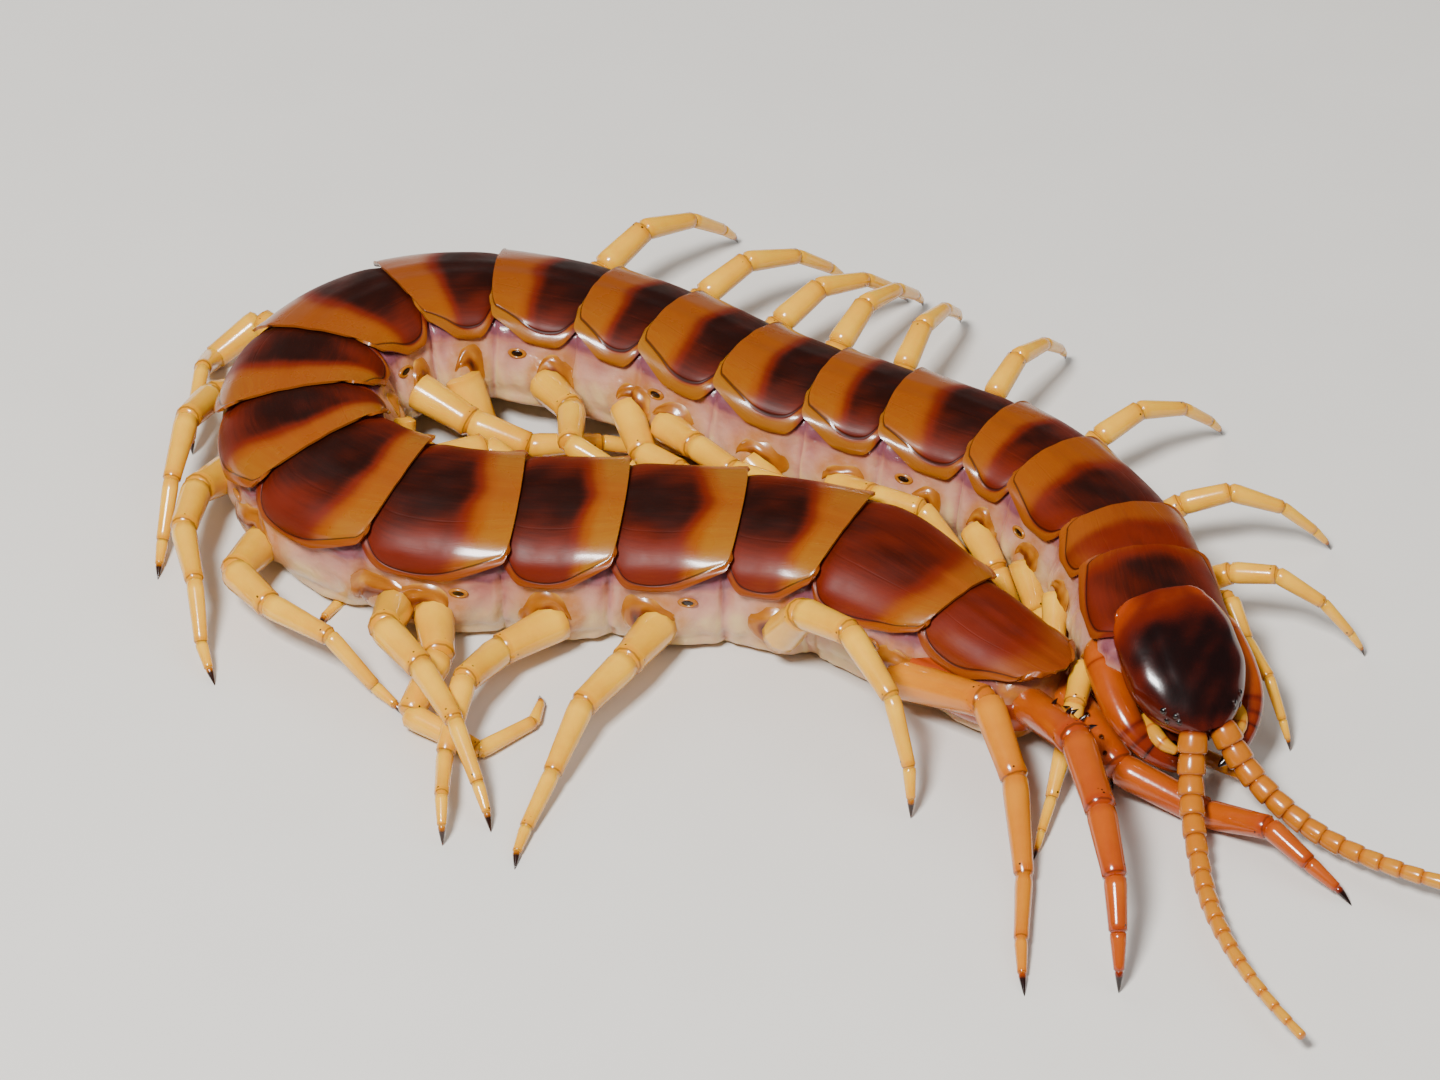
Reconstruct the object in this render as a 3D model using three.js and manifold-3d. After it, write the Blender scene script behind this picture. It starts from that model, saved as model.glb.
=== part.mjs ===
// A giant centipede at rest on flat ground, life-size and still, in millimetres with +Z up.
// The body is bent like a hairpin. It is followed from the front edge of the first back plate
// (station 0) to the tail, and every other piece is placed from that line. The belly of the
// rear half and the tips of the claws stand on the ground at z = 0.
import * as THREE from 'three';
import { mergeVertices } from 'three/addons/utils/BufferGeometryUtils.js';
import Module from 'manifold-3d';

const wasm = await Module();
wasm.setup();

const GAP = 0.3; // clearance that touching pieces keep
const SLIVER = 0.02; // narrower cuts are smoothed over

// The line of the body
const BODY_START = [21.07, -12.69]; // middle of the first plate's front edge
const HEADING_STEP = 9; // distance between the headings below
const HEADINGS = [97, 105, 128, 153, 156, 147, 158, 182, 230, 280, 328, 354, 354, 349, 318, 316];
const ROLL = [[0, 7], [18, 8], [36, 9], [52, 13], [66, 14], [82, 10], [100, 4], [114, 0]]; // station, degrees
const BELLY_BEVEL = 1.1; // a rolled body stands on this much more than the flat of its belly
const LIFT = [[0, 2.2], [8, 1.6], [18, 0.5], [28, 0], [128, 0], [139, 0.4]]; // belly above the ground

// Back plates, one for each pair of legs
const PLATE_LENGTHS = [7.1, 4.6, 7.2, 4.8, 6.8, 5.5, 6.3, 6.3, 5.5, 6.8, 6.3, 6.8, 5.8, 5.3, 6.3, 7.7,
  7.0, 7.7, 7.2, 9.5, 7.7];
const SEGMENTS = PLATE_LENGTHS.length;
const WIDTH = [[0, 9.6], [10, 9.4], [24, 10.0], [45, 11.0], [70, 11.8], [112, 11.7], [122, 11.1],
  [129, 9.5], [132, 7.6], [139, 6.6]];
const HEIGHT = [[0, 7.2], [12, 7.8], [30, 8.5], [110, 8.6], [122, 8.3], [130, 7.6], [139, 6.2]];
const SEGMENTS_PER_LENGTH = 3; // back plates in one length of the trunk

// Half of a cross-section, as shares of the half width and of the height
const SECTION = [
  [0.00, 0.000], [0.50, 0.000], [0.84, 0.035], [0.97, 0.170], [1.00, 0.380],
  [0.95, 0.600], [1.00, 0.675], [0.90, 0.820], [0.66, 0.930], [0.34, 0.985], [0.00, 1.000],
];
const FIRST_FLESH = 2;
const FIRST_PLATE = 6;
// Rings along one segment: place along it, swelling of the back plate and of the soft side, and how much
// higher the rim of the plate runs there
const SEGMENT_RINGS = [
  [0.03, 0.93, 0.93, 0.06], [0.18, 0.985, 0.975, 0], [0.55, 1.0, 1.02, 0.02], [0.90, 1.03, 0.99, 0.07],
  [0.985, 1.035, 0.93, 0.09],
];
const RIM_ROWS = [5, 6];

// A walking leg: length and thickness of each article, from the trunk outwards
const LEG_ARTICLES = [
  { length: 4.6, thick: 2.4 }, { length: 4.4, thick: 2.2 }, { length: 5.2, thick: 1.8 },
  { length: 4.3, thick: 1.2 }, { length: 1.9, thick: 0.9 }, { length: 1.2, thick: 0.55 },
];
const LEG_SCALE = [[1, 0.66], [4, 0.78], [8, 0.88], [12, 0.98], [15, 1.04], [19, 1.06], [20, 1.3]];
const STOUTEST = 1.0; // largest share that scales a thickness
const TAPER = 0.85; // how far an article narrows towards the thickness of the next
const HINDMOST = { number: 20, prefemur: 8.2 }; // the longest walking legs
const LEG_SIDES = 6;
const ROOT_FLARE = 1.15; // thickness of a leg inside the trunk, as a share of its first article
const LEG_ROOT = { lateral: 0.62, height: 0.3, along: 0.52 };
const CLAW_TIP = 0.24;

// Poses of the legs, in degrees. Each article has a bearing, turned from straight out towards the head,
// and a pitch above the ground. The whole leg is then tilted so that its claw meets the ground.
// A shift moves the root along the body where the bend stretches the outer side.
const STRIDE = { bearing: 12, swing: 16, wave: 8 };
const STRIDE_TURNS = [0, 4, 6, 2, -4, -8];
const STRIDE_PITCHES = [28, 8, -28, -50, -58, -62];
const LEG_POSES = {
  left_01: { shift: 4, bearings: [58, 82, 80, 80, 78, 80], pitches: [36, -30, -8, -42, -50, -54] },
  left_11: { shift: 7, bearings: [-10, -72, -132, -130, -130, -132], pitches: [10, -28, 30, -10, -46, -72] },
  left_12: { shift: 4, bearings: [-70, -98, -106, -106, -112, -114], pitches: [24, 16, -18, -40, -16, -14] },
  left_13: { shift: 3.5, bearings: [-60, -76, -96, -92, -102, -108], pitches: [22, 2, -4, -34, -22, -28] },
  left_14: { shift: 3, bearings: [-36, -90, -106, -116, -100, -96], pitches: [14, 4, 2, -42, -10, -12] },
  left_15: { shift: 5, bearings: [-14, -54, -46, -42, -40, -36], pitches: [22, 0, -4, -26, -30, -36] },
  left_16: { bearings: [-20, 10, -72, -144, -182, -200], pitches: [2, -18, -6, -2, -4, -12] },
  left_17: { bearings: [48, 24, 8, -4, -6, -6], pitches: [0, 12, -20, 8, -30, -56] },
  left_18: { shift: -0.5, bearings: [20, 30, 14, 14, 8, -2], pitches: [6, -4, -14, -10, -4, -10] },
  left_19: { shift: 1, bearings: [-44, -56, -44, -36, -22, -16], pitches: [54, 16, -16, -48, -60, -60] },
  left_20: { shift: 4, bearings: [-90, -62, -48, -40, -44, -48], pitches: [20, -20, -20, 0, -10, -10] },
  right_01: { shift: -2.5, bearings: [68, 60, 66, 66, 66, 66], pitches: [-10, -48, -30, -8, -14, -14] },
  right_02: { bearings: [70, 112, 88, 84, 82, 82], pitches: [-28, -24, -14, -16, -12, -14] },
  right_03: { bearings: [82, 102, 104, 96, 90, 88], pitches: [-44, -8, -12, -2, -4, -12] },
  right_04: { bearings: [64, 78, 62, 64, 66, 68], pitches: [-14, -50, -4, 2, -2, -10] },
  right_05: { bearings: [84, 86, 72, 58, 40, 46], pitches: [-58, -2, 6, -12, -8, -6] },
  right_06: { bearings: [68, 86, 80, 82, 84, 80], pitches: [18, 4, -40, -32, -12, -12] },
  right_07: { bearings: [72, 92, 94, 62, 68, 70], pitches: [-20, -32, -4, 0, -2, -10] },
  right_08: { bearings: [66, 74, 118, 122, 104, 102], pitches: [12, 4, -16, -40, -26, -50] },
  right_09: { shift: -2.5, bearings: [48, 72, 130, 128, 122, 122], pitches: [-14, 12, -54, 4, -8, -30] },
  right_10: { shift: -1.5, bearings: [44, 18, 80, 118, 116, 118], pitches: [10, 4, -16, -38, -36, -42] },
  right_11: { bearings: [34, 60, 70, 82, 78, 80], pitches: [-56, -4, -4, 2, -10, -12] },
  right_12: { bearings: [16, 30, 58, 60, 58, 60], pitches: [-14, -14, -6, -20, -12, -14] },
  right_13: { bearings: [-84, -54, -108, -110, -104, -102], pitches: [-60, -2, -6, 2, 10, -10] },
  right_14: { bearings: [4, -14, -104, -36, -24, -32], pitches: [-42, -4, -2, -2, -4, -8] },
  right_15: { bearings: [-26, -72, -76, -62, -64, -66], pitches: [2, -32, -12, 2, -10, -12] },
  right_16: { bearings: [-60, -50, -58, -76, -88, -86], pitches: [8, -32, -10, -2, -4, -10] },
  right_17: { bearings: [-60, -64, -86, -92, -114, -112], pitches: [-16, -8, -10, 0, 2, -8] },
  right_18: { bearings: [-72, -72, -100, -100, -112, -110], pitches: [-24, -4, 0, 0, 0, -10] },
  right_19: { bearings: [-80, -112, -128, -142, -140, -138], pitches: [0, -12, -12, 0, -2, -10] },
  right_20: { shift: 0.5, bearings: [-90, -90, -96, -90, -88, -84], pitches: [-2, -14, 0, 8, -16, -26] },
};

// The head: its upper line starts on the first back plate and bends down to the front
const HEAD = { yaw: 12, behind: 2.3, lip: 0.85 };
const HEAD_PITCH = [[0, 5], [2.4, 16], [5, 28], [8, 42], [10.2, 52]]; // distance from the rear edge, degrees down
const HEAD_RINGS = [ // distance from the rear edge, half width, depth
  [0, 2.3, 1.5], [0.7, 3.0, 2.2], [2.2, 3.55, 3.2], [4.4, 3.7, 3.6], [6.6, 3.55, 3.6], [8.4, 2.9, 3.2],
  [9.6, 2.0, 2.6], [10.2, 1.1, 1.9],
];
const HEAD_SECTION = [ // shares of half width and depth
  [0, 0], [0.42, 0.03], [0.76, 0.13], [0.95, 0.32], [1.0, 0.52], [0.86, 0.82], [0.45, 1.0], [0, 1.0],
];
// The plate under the head that carries the two poison claws: place forwards, half width, bottom, top
const CLAW_PLATE_RINGS = [
  [-3.0, 4.2, 3.2, 6.8], [-1.4, 4.5, 3.0, 6.8], [-0.4, 4.1, 2.9, 6.5], [0.7, 2.5, 2.8, 6.2], [4.6, 1.9, 2.6, 4.8],
];
// Joints as sideways, forwards and height above the ground, and the thickness at each
const POISON_CLAW = [
  [2.8, -2.8, 6.1, 2.2], [3.9, -1.9, 6.4, 2.5], [4.2, -0.4, 6.1, 2.4], [4.3, 1.4, 5.4, 2.3], [4.1, 3.2, 4.7, 2.0],
  [3.3, 4.7, 3.8, 1.7], [2.0, 6.0, 3.2, 1.2], [0.6, 6.7, 2.8, 0.3],
];
const HEAD_LIMB_SIDES = 8;
const PALP = [[2.7, 2.6, 4.6, 1.0], [2.9, 4.2, 4.7, 1.1], [2.6, 5.3, 4.5, 1.0], [1.9, 6.0, 4.2, 0.5]];
const ANTENNA = { articles: 18, length: 25, thick: 2.0, tipThick: 0.6, sides: 8 };
const ANTENNA_ROOT = [0.95, 5.9, 5.6];
const ANTENNA_PATHS = { // bearing from straight ahead, outwards, and pitch, at the root, third and tip
  right: { bearing: [[0, 24], [0.3, 14], [1, -12]], pitch: [[0, -50], [0.2, -20], [0.5, 4], [1, 0]] },
  left: { bearing: [[0, 20], [0.4, 34], [1, 62]], pitch: [[0, -42], [0.2, -18], [0.5, 4], [1, 0]] },
};

// The last pair of legs, trailing behind the tail
const LAST_LEG_ARTICLES = [
  { length: 8.0, thick: 2.6 }, { length: 6.2, thick: 2.3 }, { length: 4.8, thick: 2.0 },
  { length: 3.4, thick: 1.5 }, { length: 2.3, thick: 1.1 }, { length: 1.4, thick: 0.6 },
];
const LAST_LEGS = { // bearing turned to the animal's right from straight back, and pitch
  left: { bearings: [-24, -36, -38, -44, -44, -46], pitches: [22, -2, -16, -34, -48, -58] },
  right: { bearings: [-18, 16, 6, -2, 4, 2], pitches: [-10, -12, 18, -14, -20, -26] },
};
const LAST_LEG_ROOT = { lateral: 1.55, height: 3.1, inside: 1.5 };
const LAST_LEG_SIDES = 9;
const SPINULE = { height: 0.6, sunk: 0.3, lean: 0.25, wide: 0.5, tip: 0.1, sides: 4 };
const SPINULES = [[0.42, 20], [0.5, 75], [0.56, -25], [0.66, 40], [0.74, 70], [0.8, 5], [0.88, 50]]; // share, turn

// Smooth value between pairs of place and value
function between(keys, x) {
  if (x <= keys[0][0]) return keys[0][1];
  for (let i = 1; i < keys.length; i++) {
    if (x <= keys[i][0]) {
      const share = (x - keys[i - 1][0]) / (keys[i][0] - keys[i - 1][0]);
      return THREE.MathUtils.lerp(keys[i - 1][1], keys[i][1], share * share * (3 - 2 * share));
    }
  }
  return keys[keys.length - 1][1];
}

// Direction of the body from head to tail, in radians
function headingAt(station) {
  const last = HEADINGS.length - 1;
  const t = THREE.MathUtils.clamp(station / HEADING_STEP, 0, last - 1e-9);
  const i = Math.floor(t);
  const f = t - i;
  const slope = (k) => {
    const lower = Math.max(k - 1, 0);
    const upper = Math.min(k + 1, last);
    return (HEADINGS[upper] - HEADINGS[lower]) / (upper - lower);
  };
  const degrees = HEADINGS[i] * (1 + 2 * f) * (1 - f) ** 2 + slope(i) * f * (1 - f) ** 2
    + HEADINGS[i + 1] * f * f * (3 - 2 * f) + slope(i + 1) * f * f * (f - 1);
  return THREE.MathUtils.degToRad(degrees);
}

const PATH_STEP = 0.25;
const bodyLength = PLATE_LENGTHS.reduce((sum, length) => sum + length, 0);
const bodyPath = [new THREE.Vector2(...BODY_START)];
for (let s = 0; s < bodyLength + 2; s += PATH_STEP) {
  const heading = headingAt(s + PATH_STEP / 2);
  const last = bodyPath[bodyPath.length - 1];
  bodyPath.push(new THREE.Vector2(last.x + PATH_STEP * Math.cos(heading), last.y + PATH_STEP * Math.sin(heading)));
}

// Place and axes of the body at a station: right is the animal's right, back points to the tail
function bodyFrame(station) {
  const t = THREE.MathUtils.clamp(station / PATH_STEP, 0, bodyPath.length - 1.001);
  const i = Math.floor(t);
  const point = bodyPath[i].clone().lerp(bodyPath[i + 1], t - i);
  const heading = headingAt(station);
  const roll = THREE.MathUtils.degToRad(between(ROLL, station));
  const halfBelly = SECTION[1][0] * between(WIDTH, station) / 2;
  const level = new THREE.Vector3(-Math.sin(heading), Math.cos(heading), 0);
  const right = level.clone().multiplyScalar(Math.cos(roll)).setZ(Math.sin(roll));
  const up = level.clone().multiplyScalar(-Math.sin(roll)).setZ(Math.cos(roll));
  const lift = between(LIFT, station) + (halfBelly + BELLY_BEVEL) * Math.sin(roll);
  return {
    origin: new THREE.Vector3(point.x, point.y, lift),
    back: new THREE.Vector3(Math.cos(heading), Math.sin(heading), 0),
    right,
    up,
    level,
  };
}

const plateStarts = PLATE_LENGTHS.map((_, i) => PLATE_LENGTHS.slice(0, i).reduce((a, b) => a + b, 0));

// One closed cross-section of the trunk, grown outwards by grow
function trunkRing(station, plate, flesh, raise, grow = 0) {
  const frame = bodyFrame(station);
  const half = between(WIDTH, station) / 2;
  const tall = between(HEIGHT, station);
  const ring = [];
  const count = SECTION.length;
  for (let k = 0; k < 2 * (count - 1); k++) {
    const side = k < count ? 1 : -1;
    const row = k < count ? k : 2 * (count - 1) - k;
    const acrossShare = SECTION[row][0];
    const upShare = SECTION[row][1] + (RIM_ROWS.includes(row) ? raise : 0);
    const swell = row >= FIRST_PLATE ? plate : row >= FIRST_FLESH ? flesh : 1;
    const across = half * acrossShare * swell;
    const upwards = tall * upShare * (1 + 0.5 * (swell - 1));
    const reachOut = new THREE.Vector2(across, upwards - tall * 0.5);
    const grown = reachOut.setLength(reachOut.length() + grow);
    ring.push(frame.origin.clone()
      .addScaledVector(frame.right, side * grown.x)
      .addScaledVector(frame.up, grown.y + tall * 0.5));
  }
  return ring;
}

// A closed surface through rings of equally many points, with flat fans at both ends
function loft(rings) {
  const count = rings[0].length;
  const points = rings.flat();
  const index = [];
  for (let r = 0; r + 1 < rings.length; r++) {
    for (let k = 0; k < count; k++) {
      const a = r * count + k;
      const b = r * count + (k + 1) % count;
      index.push(a, b, b + count, a, b + count, a + count);
    }
  }
  [0, rings.length - 1].forEach((r) => {
    const middle = points.length;
    points.push(rings[r].reduce((sum, p) => sum.add(p), new THREE.Vector3()).divideScalar(count));
    for (let k = 0; k < count; k++) {
      const a = r * count + k;
      const b = r * count + (k + 1) % count;
      if (r === 0) index.push(b, a, middle);
      else index.push(a, b, middle);
    }
  });
  const geometry = new THREE.BufferGeometry().setFromPoints(points);
  geometry.setIndex(index);
  if (signedVolume(geometry) < 0) geometry.setIndex(index.map((_, i) => index[i - (i % 3) + 2 - (i % 3)]));
  return geometry;
}

function signedVolume(geometry) {
  const position = geometry.getAttribute('position');
  const corners = [0, 1, 2].map(() => new THREE.Vector3());
  let sum = 0;
  for (let i = 0; i < geometry.index.count; i += 3) {
    corners.forEach((c, k) => c.fromBufferAttribute(position, geometry.index.getX(i + k)));
    sum += corners[0].dot(corners[1].clone().cross(corners[2])) / 6;
  }
  return sum;
}

function toSolid(geometry) {
  const bare = geometry.clone();
  bare.deleteAttribute('normal');
  bare.deleteAttribute('uv');
  const merged = mergeVertices(bare, 1e-4);
  return new wasm.Manifold(new wasm.Mesh({
    numProp: 3,
    vertProperties: new Float32Array(merged.getAttribute('position').array),
    triVerts: new Uint32Array(merged.index.array),
  }));
}

// The largest closed surface of a solid, without edges shorter than SLIVER, as a geometry
function toGeometry(solid) {
  const largest = solid.simplify(SLIVER).decompose().reduce((a, b) => (b.volume() > a.volume() ? b : a));
  const mesh = largest.getMesh();
  const geometry = new THREE.BufferGeometry();
  geometry.setAttribute('position', new THREE.BufferAttribute(new Float32Array(mesh.vertProperties), 3));
  geometry.setIndex(new THREE.BufferAttribute(new Uint32Array(mesh.triVerts), 1));
  return geometry;
}

// Rings round a bent tube: centres and radii, with each ring square to the bisected direction
function tubeRings(centres, radii, sides, upHint = new THREE.Vector3(0, 0, 1)) {
  return centres.map((centre, i) => {
    const before = centres[Math.max(i - 1, 0)];
    const after = centres[Math.min(i + 1, centres.length - 1)];
    const along = after.clone().sub(before).normalize();
    const across = along.clone().cross(upHint);
    if (across.lengthSq() < 1e-4) across.set(1, 0, 0);
    across.normalize();
    const upwards = across.clone().cross(along);
    return Array.from({ length: sides }, (_, k) => {
      const angle = (2 * Math.PI * k) / sides;
      return centre.clone()
        .addScaledVector(across, radii[i] * Math.cos(angle))
        .addScaledVector(upwards, radii[i] * Math.sin(angle));
    });
  });
}

// Joints of a limb from its root, each article set by its bearing and its pitch
function jointChain(root, outwards, forwards, lengths, bearings, pitches, tilt) {
  const joints = [root.clone()];
  lengths.forEach((length, k) => {
    const bearing = THREE.MathUtils.degToRad(bearings[k]);
    const pitch = THREE.MathUtils.degToRad(THREE.MathUtils.clamp(pitches[k] + tilt, -88, 88));
    const step = outwards.clone().multiplyScalar(Math.cos(bearing))
      .addScaledVector(forwards, Math.sin(bearing)).multiplyScalar(Math.cos(pitch));
    step.z = Math.sin(pitch);
    joints.push(joints[k].clone().addScaledVector(step, length));
  });
  return joints;
}

// The same limb, tilted up or down as a whole until its tip is at the wanted height
function standingChain(root, outwards, forwards, lengths, bearings, pitches, tipHeight) {
  let low = -60;
  let high = 60;
  const tipAt = (tilt) => jointChain(root, outwards, forwards, lengths, bearings, pitches, tilt).pop().z;
  for (let n = 0; n < 30; n++) {
    const middle = (low + high) / 2;
    if (tipAt(middle) > tipHeight) high = middle;
    else low = middle;
  }
  return jointChain(root, outwards, forwards, lengths, bearings, pitches, low);
}

// Centres and radii of an articulated limb: every article narrows towards the next, and the joint between
// them is a little narrower still
const JOINT_SHARES = [0.1, 0.93];
const JOINT_SWELL = [0.95, 1.02];
function articulated(joints, thicknesses, tipRadius) {
  const centres = [];
  const radii = [];
  for (let k = 0; k + 1 < joints.length; k++) {
    const tip = k + 2 === joints.length;
    const near = thicknesses[k] / 2;
    const far = tip ? tipRadius : THREE.MathUtils.lerp(near, thicknesses[k + 1] / 2, TAPER);
    centres.push(joints[k].clone().lerp(joints[k + 1], JOINT_SHARES[0]));
    radii.push(near * JOINT_SWELL[0]);
    centres.push(joints[k].clone().lerp(joints[k + 1], tip ? 1 : JOINT_SHARES[1]));
    radii.push(tip ? tipRadius : far * JOINT_SWELL[1]);
  }
  return { centres, radii };
}

const ground = toSolid(new THREE.BoxGeometry(400, 400, 20).translate(0, 0, -10));

// Place beside, ahead of and above the neck: sideways is towards the animal's right
const neck = bodyFrame(0);
const neckTop = neck.origin.clone().addScaledVector(neck.up, between(HEIGHT, 0));
const headForward = neck.back.clone().negate()
  .applyAxisAngle(new THREE.Vector3(0, 0, 1), THREE.MathUtils.degToRad(HEAD.yaw));
const headRight = headForward.clone().cross(new THREE.Vector3(0, 0, 1));
function headPoint(sideways, forwards, height) {
  return neckTop.clone().addScaledVector(headRight, sideways).addScaledVector(headForward, forwards).setZ(height);
}

function headRings(grow) {
  const step = 0.1;
  const place = new THREE.Vector2(-HEAD.behind, neckTop.z + HEAD.lip);
  const rings = [];
  let travelled = 0;
  HEAD_RINGS.forEach(([distance, half, depth], index) => {
    while (travelled < distance - 1e-6) {
      const pitch = THREE.MathUtils.degToRad(between(HEAD_PITCH, travelled));
      place.x += step * Math.cos(pitch);
      place.y -= step * Math.sin(pitch);
      travelled += step;
    }
    const pitch = THREE.MathUtils.degToRad(between(HEAD_PITCH, distance));
    const push = index === 0 ? -grow : index === HEAD_RINGS.length - 1 ? grow : 0;
    const ring = [];
    const count = HEAD_SECTION.length;
    for (let k = 0; k < 2 * (count - 1); k++) {
      const side = k < count ? 1 : -1;
      const [acrossShare, downShare] = HEAD_SECTION[k < count ? k : 2 * (count - 1) - k];
      const outline = new THREE.Vector2(acrossShare * half, (0.5 - downShare) * depth);
      outline.setLength(outline.length() + grow);
      const below = depth / 2 - outline.y;
      const forwards = place.x + push * Math.cos(pitch) - below * Math.sin(pitch);
      const height = place.y - push * Math.sin(pitch) - below * Math.cos(pitch);
      ring.push(headPoint(side * outline.x, forwards, height));
    }
    rings.push(ring);
  });
  return rings;
}

function clawPlateRings(grow) {
  return CLAW_PLATE_RINGS.map(([forwards, half, bottom, top], index) => {
    const push = index === 0 ? -grow : index === CLAW_PLATE_RINGS.length - 1 ? grow : 0;
    const outline = [[0.7, 0], [1, 0.3], [1, 0.75], [0.8, 1], [-0.8, 1], [-1, 0.75], [-1, 0.3], [-0.7, 0]];
    return outline.map(([across, up]) => headPoint(
      across * (half + grow), forwards + push, bottom - grow + up * (top - bottom + 2 * grow)));
  });
}

// A limb through joints given beside the head, with a thickness at each
function headLimbRings(joints, side, grow) {
  const sign = side === 'right' ? 1 : -1;
  const centres = joints.map(([sideways, forwards, height]) => headPoint(sign * sideways, forwards, height));
  return tubeRings(centres, joints.map((joint) => joint[3] / 2 + grow), HEAD_LIMB_SIDES);
}

const headClearance = toSolid(loft(headRings(GAP)));
const clawPlateClearance = toSolid(loft(clawPlateRings(GAP)));

// Trunk
const trunkGeometries = new Map();
function trunkRings(first, last, grow) {
  const rings = [];
  for (let i = first; i <= last; i++) {
    SEGMENT_RINGS.forEach(([share, plate, flesh, raise]) => {
      rings.push(trunkRing(plateStarts[i] + share * PLATE_LENGTHS[i], plate, flesh, raise, grow));
    });
  }
  return rings;
}
for (let first = 0; first < SEGMENTS; first += SEGMENTS_PER_LENGTH) {
  const last = first + SEGMENTS_PER_LENGTH - 1;
  const name = `trunk_${String(first + 1).padStart(2, '0')}_${String(last + 1).padStart(2, '0')}`;
  const length = loft(trunkRings(first, last, 0));
  trunkGeometries.set(name, first === 0 ? toGeometry(toSolid(length).subtract(clawPlateClearance)) : length);
}
const trunkClearance = toSolid(loft(trunkRings(0, SEGMENTS - 1, GAP)));

// Pose of a leg: from the table, or in the wave of a stride
function legPose(number, side) {
  const set = LEG_POSES[`${side}_${String(number).padStart(2, '0')}`];
  if (set) return set;
  const bearing = STRIDE.bearing + STRIDE.swing * Math.sin((2 * Math.PI * number) / STRIDE.wave);
  return { bearings: STRIDE_TURNS.map((turn) => bearing + turn), pitches: STRIDE_PITCHES };
}

// Walking legs. One that would touch a leg made before it is cut clear of that one.
const legClearances = [];
function legGeometry(number, side) {
  const pose = legPose(number, side);
  const station = plateStarts[number - 1] + LEG_ROOT.along * PLATE_LENGTHS[number - 1] + (pose.shift ?? 0);
  const frame = bodyFrame(station);
  const half = between(WIDTH, station) / 2;
  const sign = side === 'right' ? 1 : -1;
  const size = between(LEG_SCALE, number);
  const stout = Math.min(size, STOUTEST);
  const root = frame.origin.clone()
    .addScaledVector(frame.right, sign * LEG_ROOT.lateral * half)
    .addScaledVector(frame.up, LEG_ROOT.height * between(HEIGHT, station));
  const surface = frame.origin.clone()
    .addScaledVector(frame.right, sign * half)
    .addScaledVector(frame.up, LEG_ROOT.height * between(HEIGHT, station));
  const lengths = LEG_ARTICLES.map((article) => article.length * size);
  if (number === HINDMOST.number) lengths[0] = HINDMOST.prefemur;
  const joints = standingChain(surface, frame.level.clone().multiplyScalar(sign), frame.back.clone().negate(),
    lengths, pose.bearings, pose.pitches, CLAW_TIP / 2);
  const { centres, radii } = articulated(joints, LEG_ARTICLES.map((article) => article.thick * stout), CLAW_TIP / 2);
  centres.unshift(root);
  radii.unshift(radii[0] * ROOT_FLARE);
  let leg = toSolid(loft(tubeRings(centres, radii, LEG_SIDES))).subtract(trunkClearance).subtract(ground);
  legClearances.filter((other) => other.intersect(leg).volume() > 0).forEach((other) => {
    leg = leg.subtract(other);
  });
  legClearances.push(toSolid(loft(tubeRings(centres, radii.map((radius) => radius + GAP), LEG_SIDES))));
  return toGeometry(leg);
}

function antennaSolid(side, grow) {
  const sign = side === 'right' ? 1 : -1;
  const path = ANTENNA_PATHS[side];
  const article = ANTENNA.length / ANTENNA.articles;
  const centres = [];
  const radii = [];
  let point = headPoint(sign * ANTENNA_ROOT[0], ANTENNA_ROOT[1], ANTENNA_ROOT[2]);
  for (let k = 0; k <= ANTENNA.articles; k++) {
    const share = k / ANTENNA.articles;
    const bearing = THREE.MathUtils.degToRad(between(path.bearing, share));
    const pitch = THREE.MathUtils.degToRad(between(path.pitch, share));
    const step = headForward.clone().multiplyScalar(Math.cos(bearing))
      .addScaledVector(headRight, sign * Math.sin(bearing)).multiplyScalar(Math.cos(pitch));
    step.z = Math.sin(pitch);
    centres.push(point.clone());
    radii.push(THREE.MathUtils.lerp(ANTENNA.thick, ANTENNA.tipThick, share ** 0.8) / 2 + grow);
    point = point.clone().addScaledVector(step, article);
  }
  return toSolid(loft(tubeRings(centres, radii, ANTENNA.sides)));
}

// Small spines on the first article of a trailing leg, each turned round it from its inner side
function spinules(start, end, sign) {
  const along = end.clone().sub(start).normalize();
  const beside = along.clone().cross(new THREE.Vector3(0, 0, 1)).normalize().multiplyScalar(sign);
  const above = new THREE.Vector3(0, 0, 1).addScaledVector(along, -along.z).normalize();
  return SPINULES.map(([share, degrees]) => {
    const angle = THREE.MathUtils.degToRad(degrees);
    const outward = beside.clone().multiplyScalar(Math.cos(angle)).addScaledVector(above, Math.sin(angle));
    const radius = LAST_LEG_ARTICLES[0].thick / 2;
    const foot = start.clone().lerp(end, share).addScaledVector(outward, radius - SPINULE.sunk);
    const tip = foot.clone().addScaledVector(outward, SPINULE.height + SPINULE.sunk)
      .addScaledVector(along, SPINULE.lean);
    return toSolid(loft(tubeRings([foot, tip], [SPINULE.wide / 2, SPINULE.tip / 2], SPINULE.sides)));
  });
}

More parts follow.
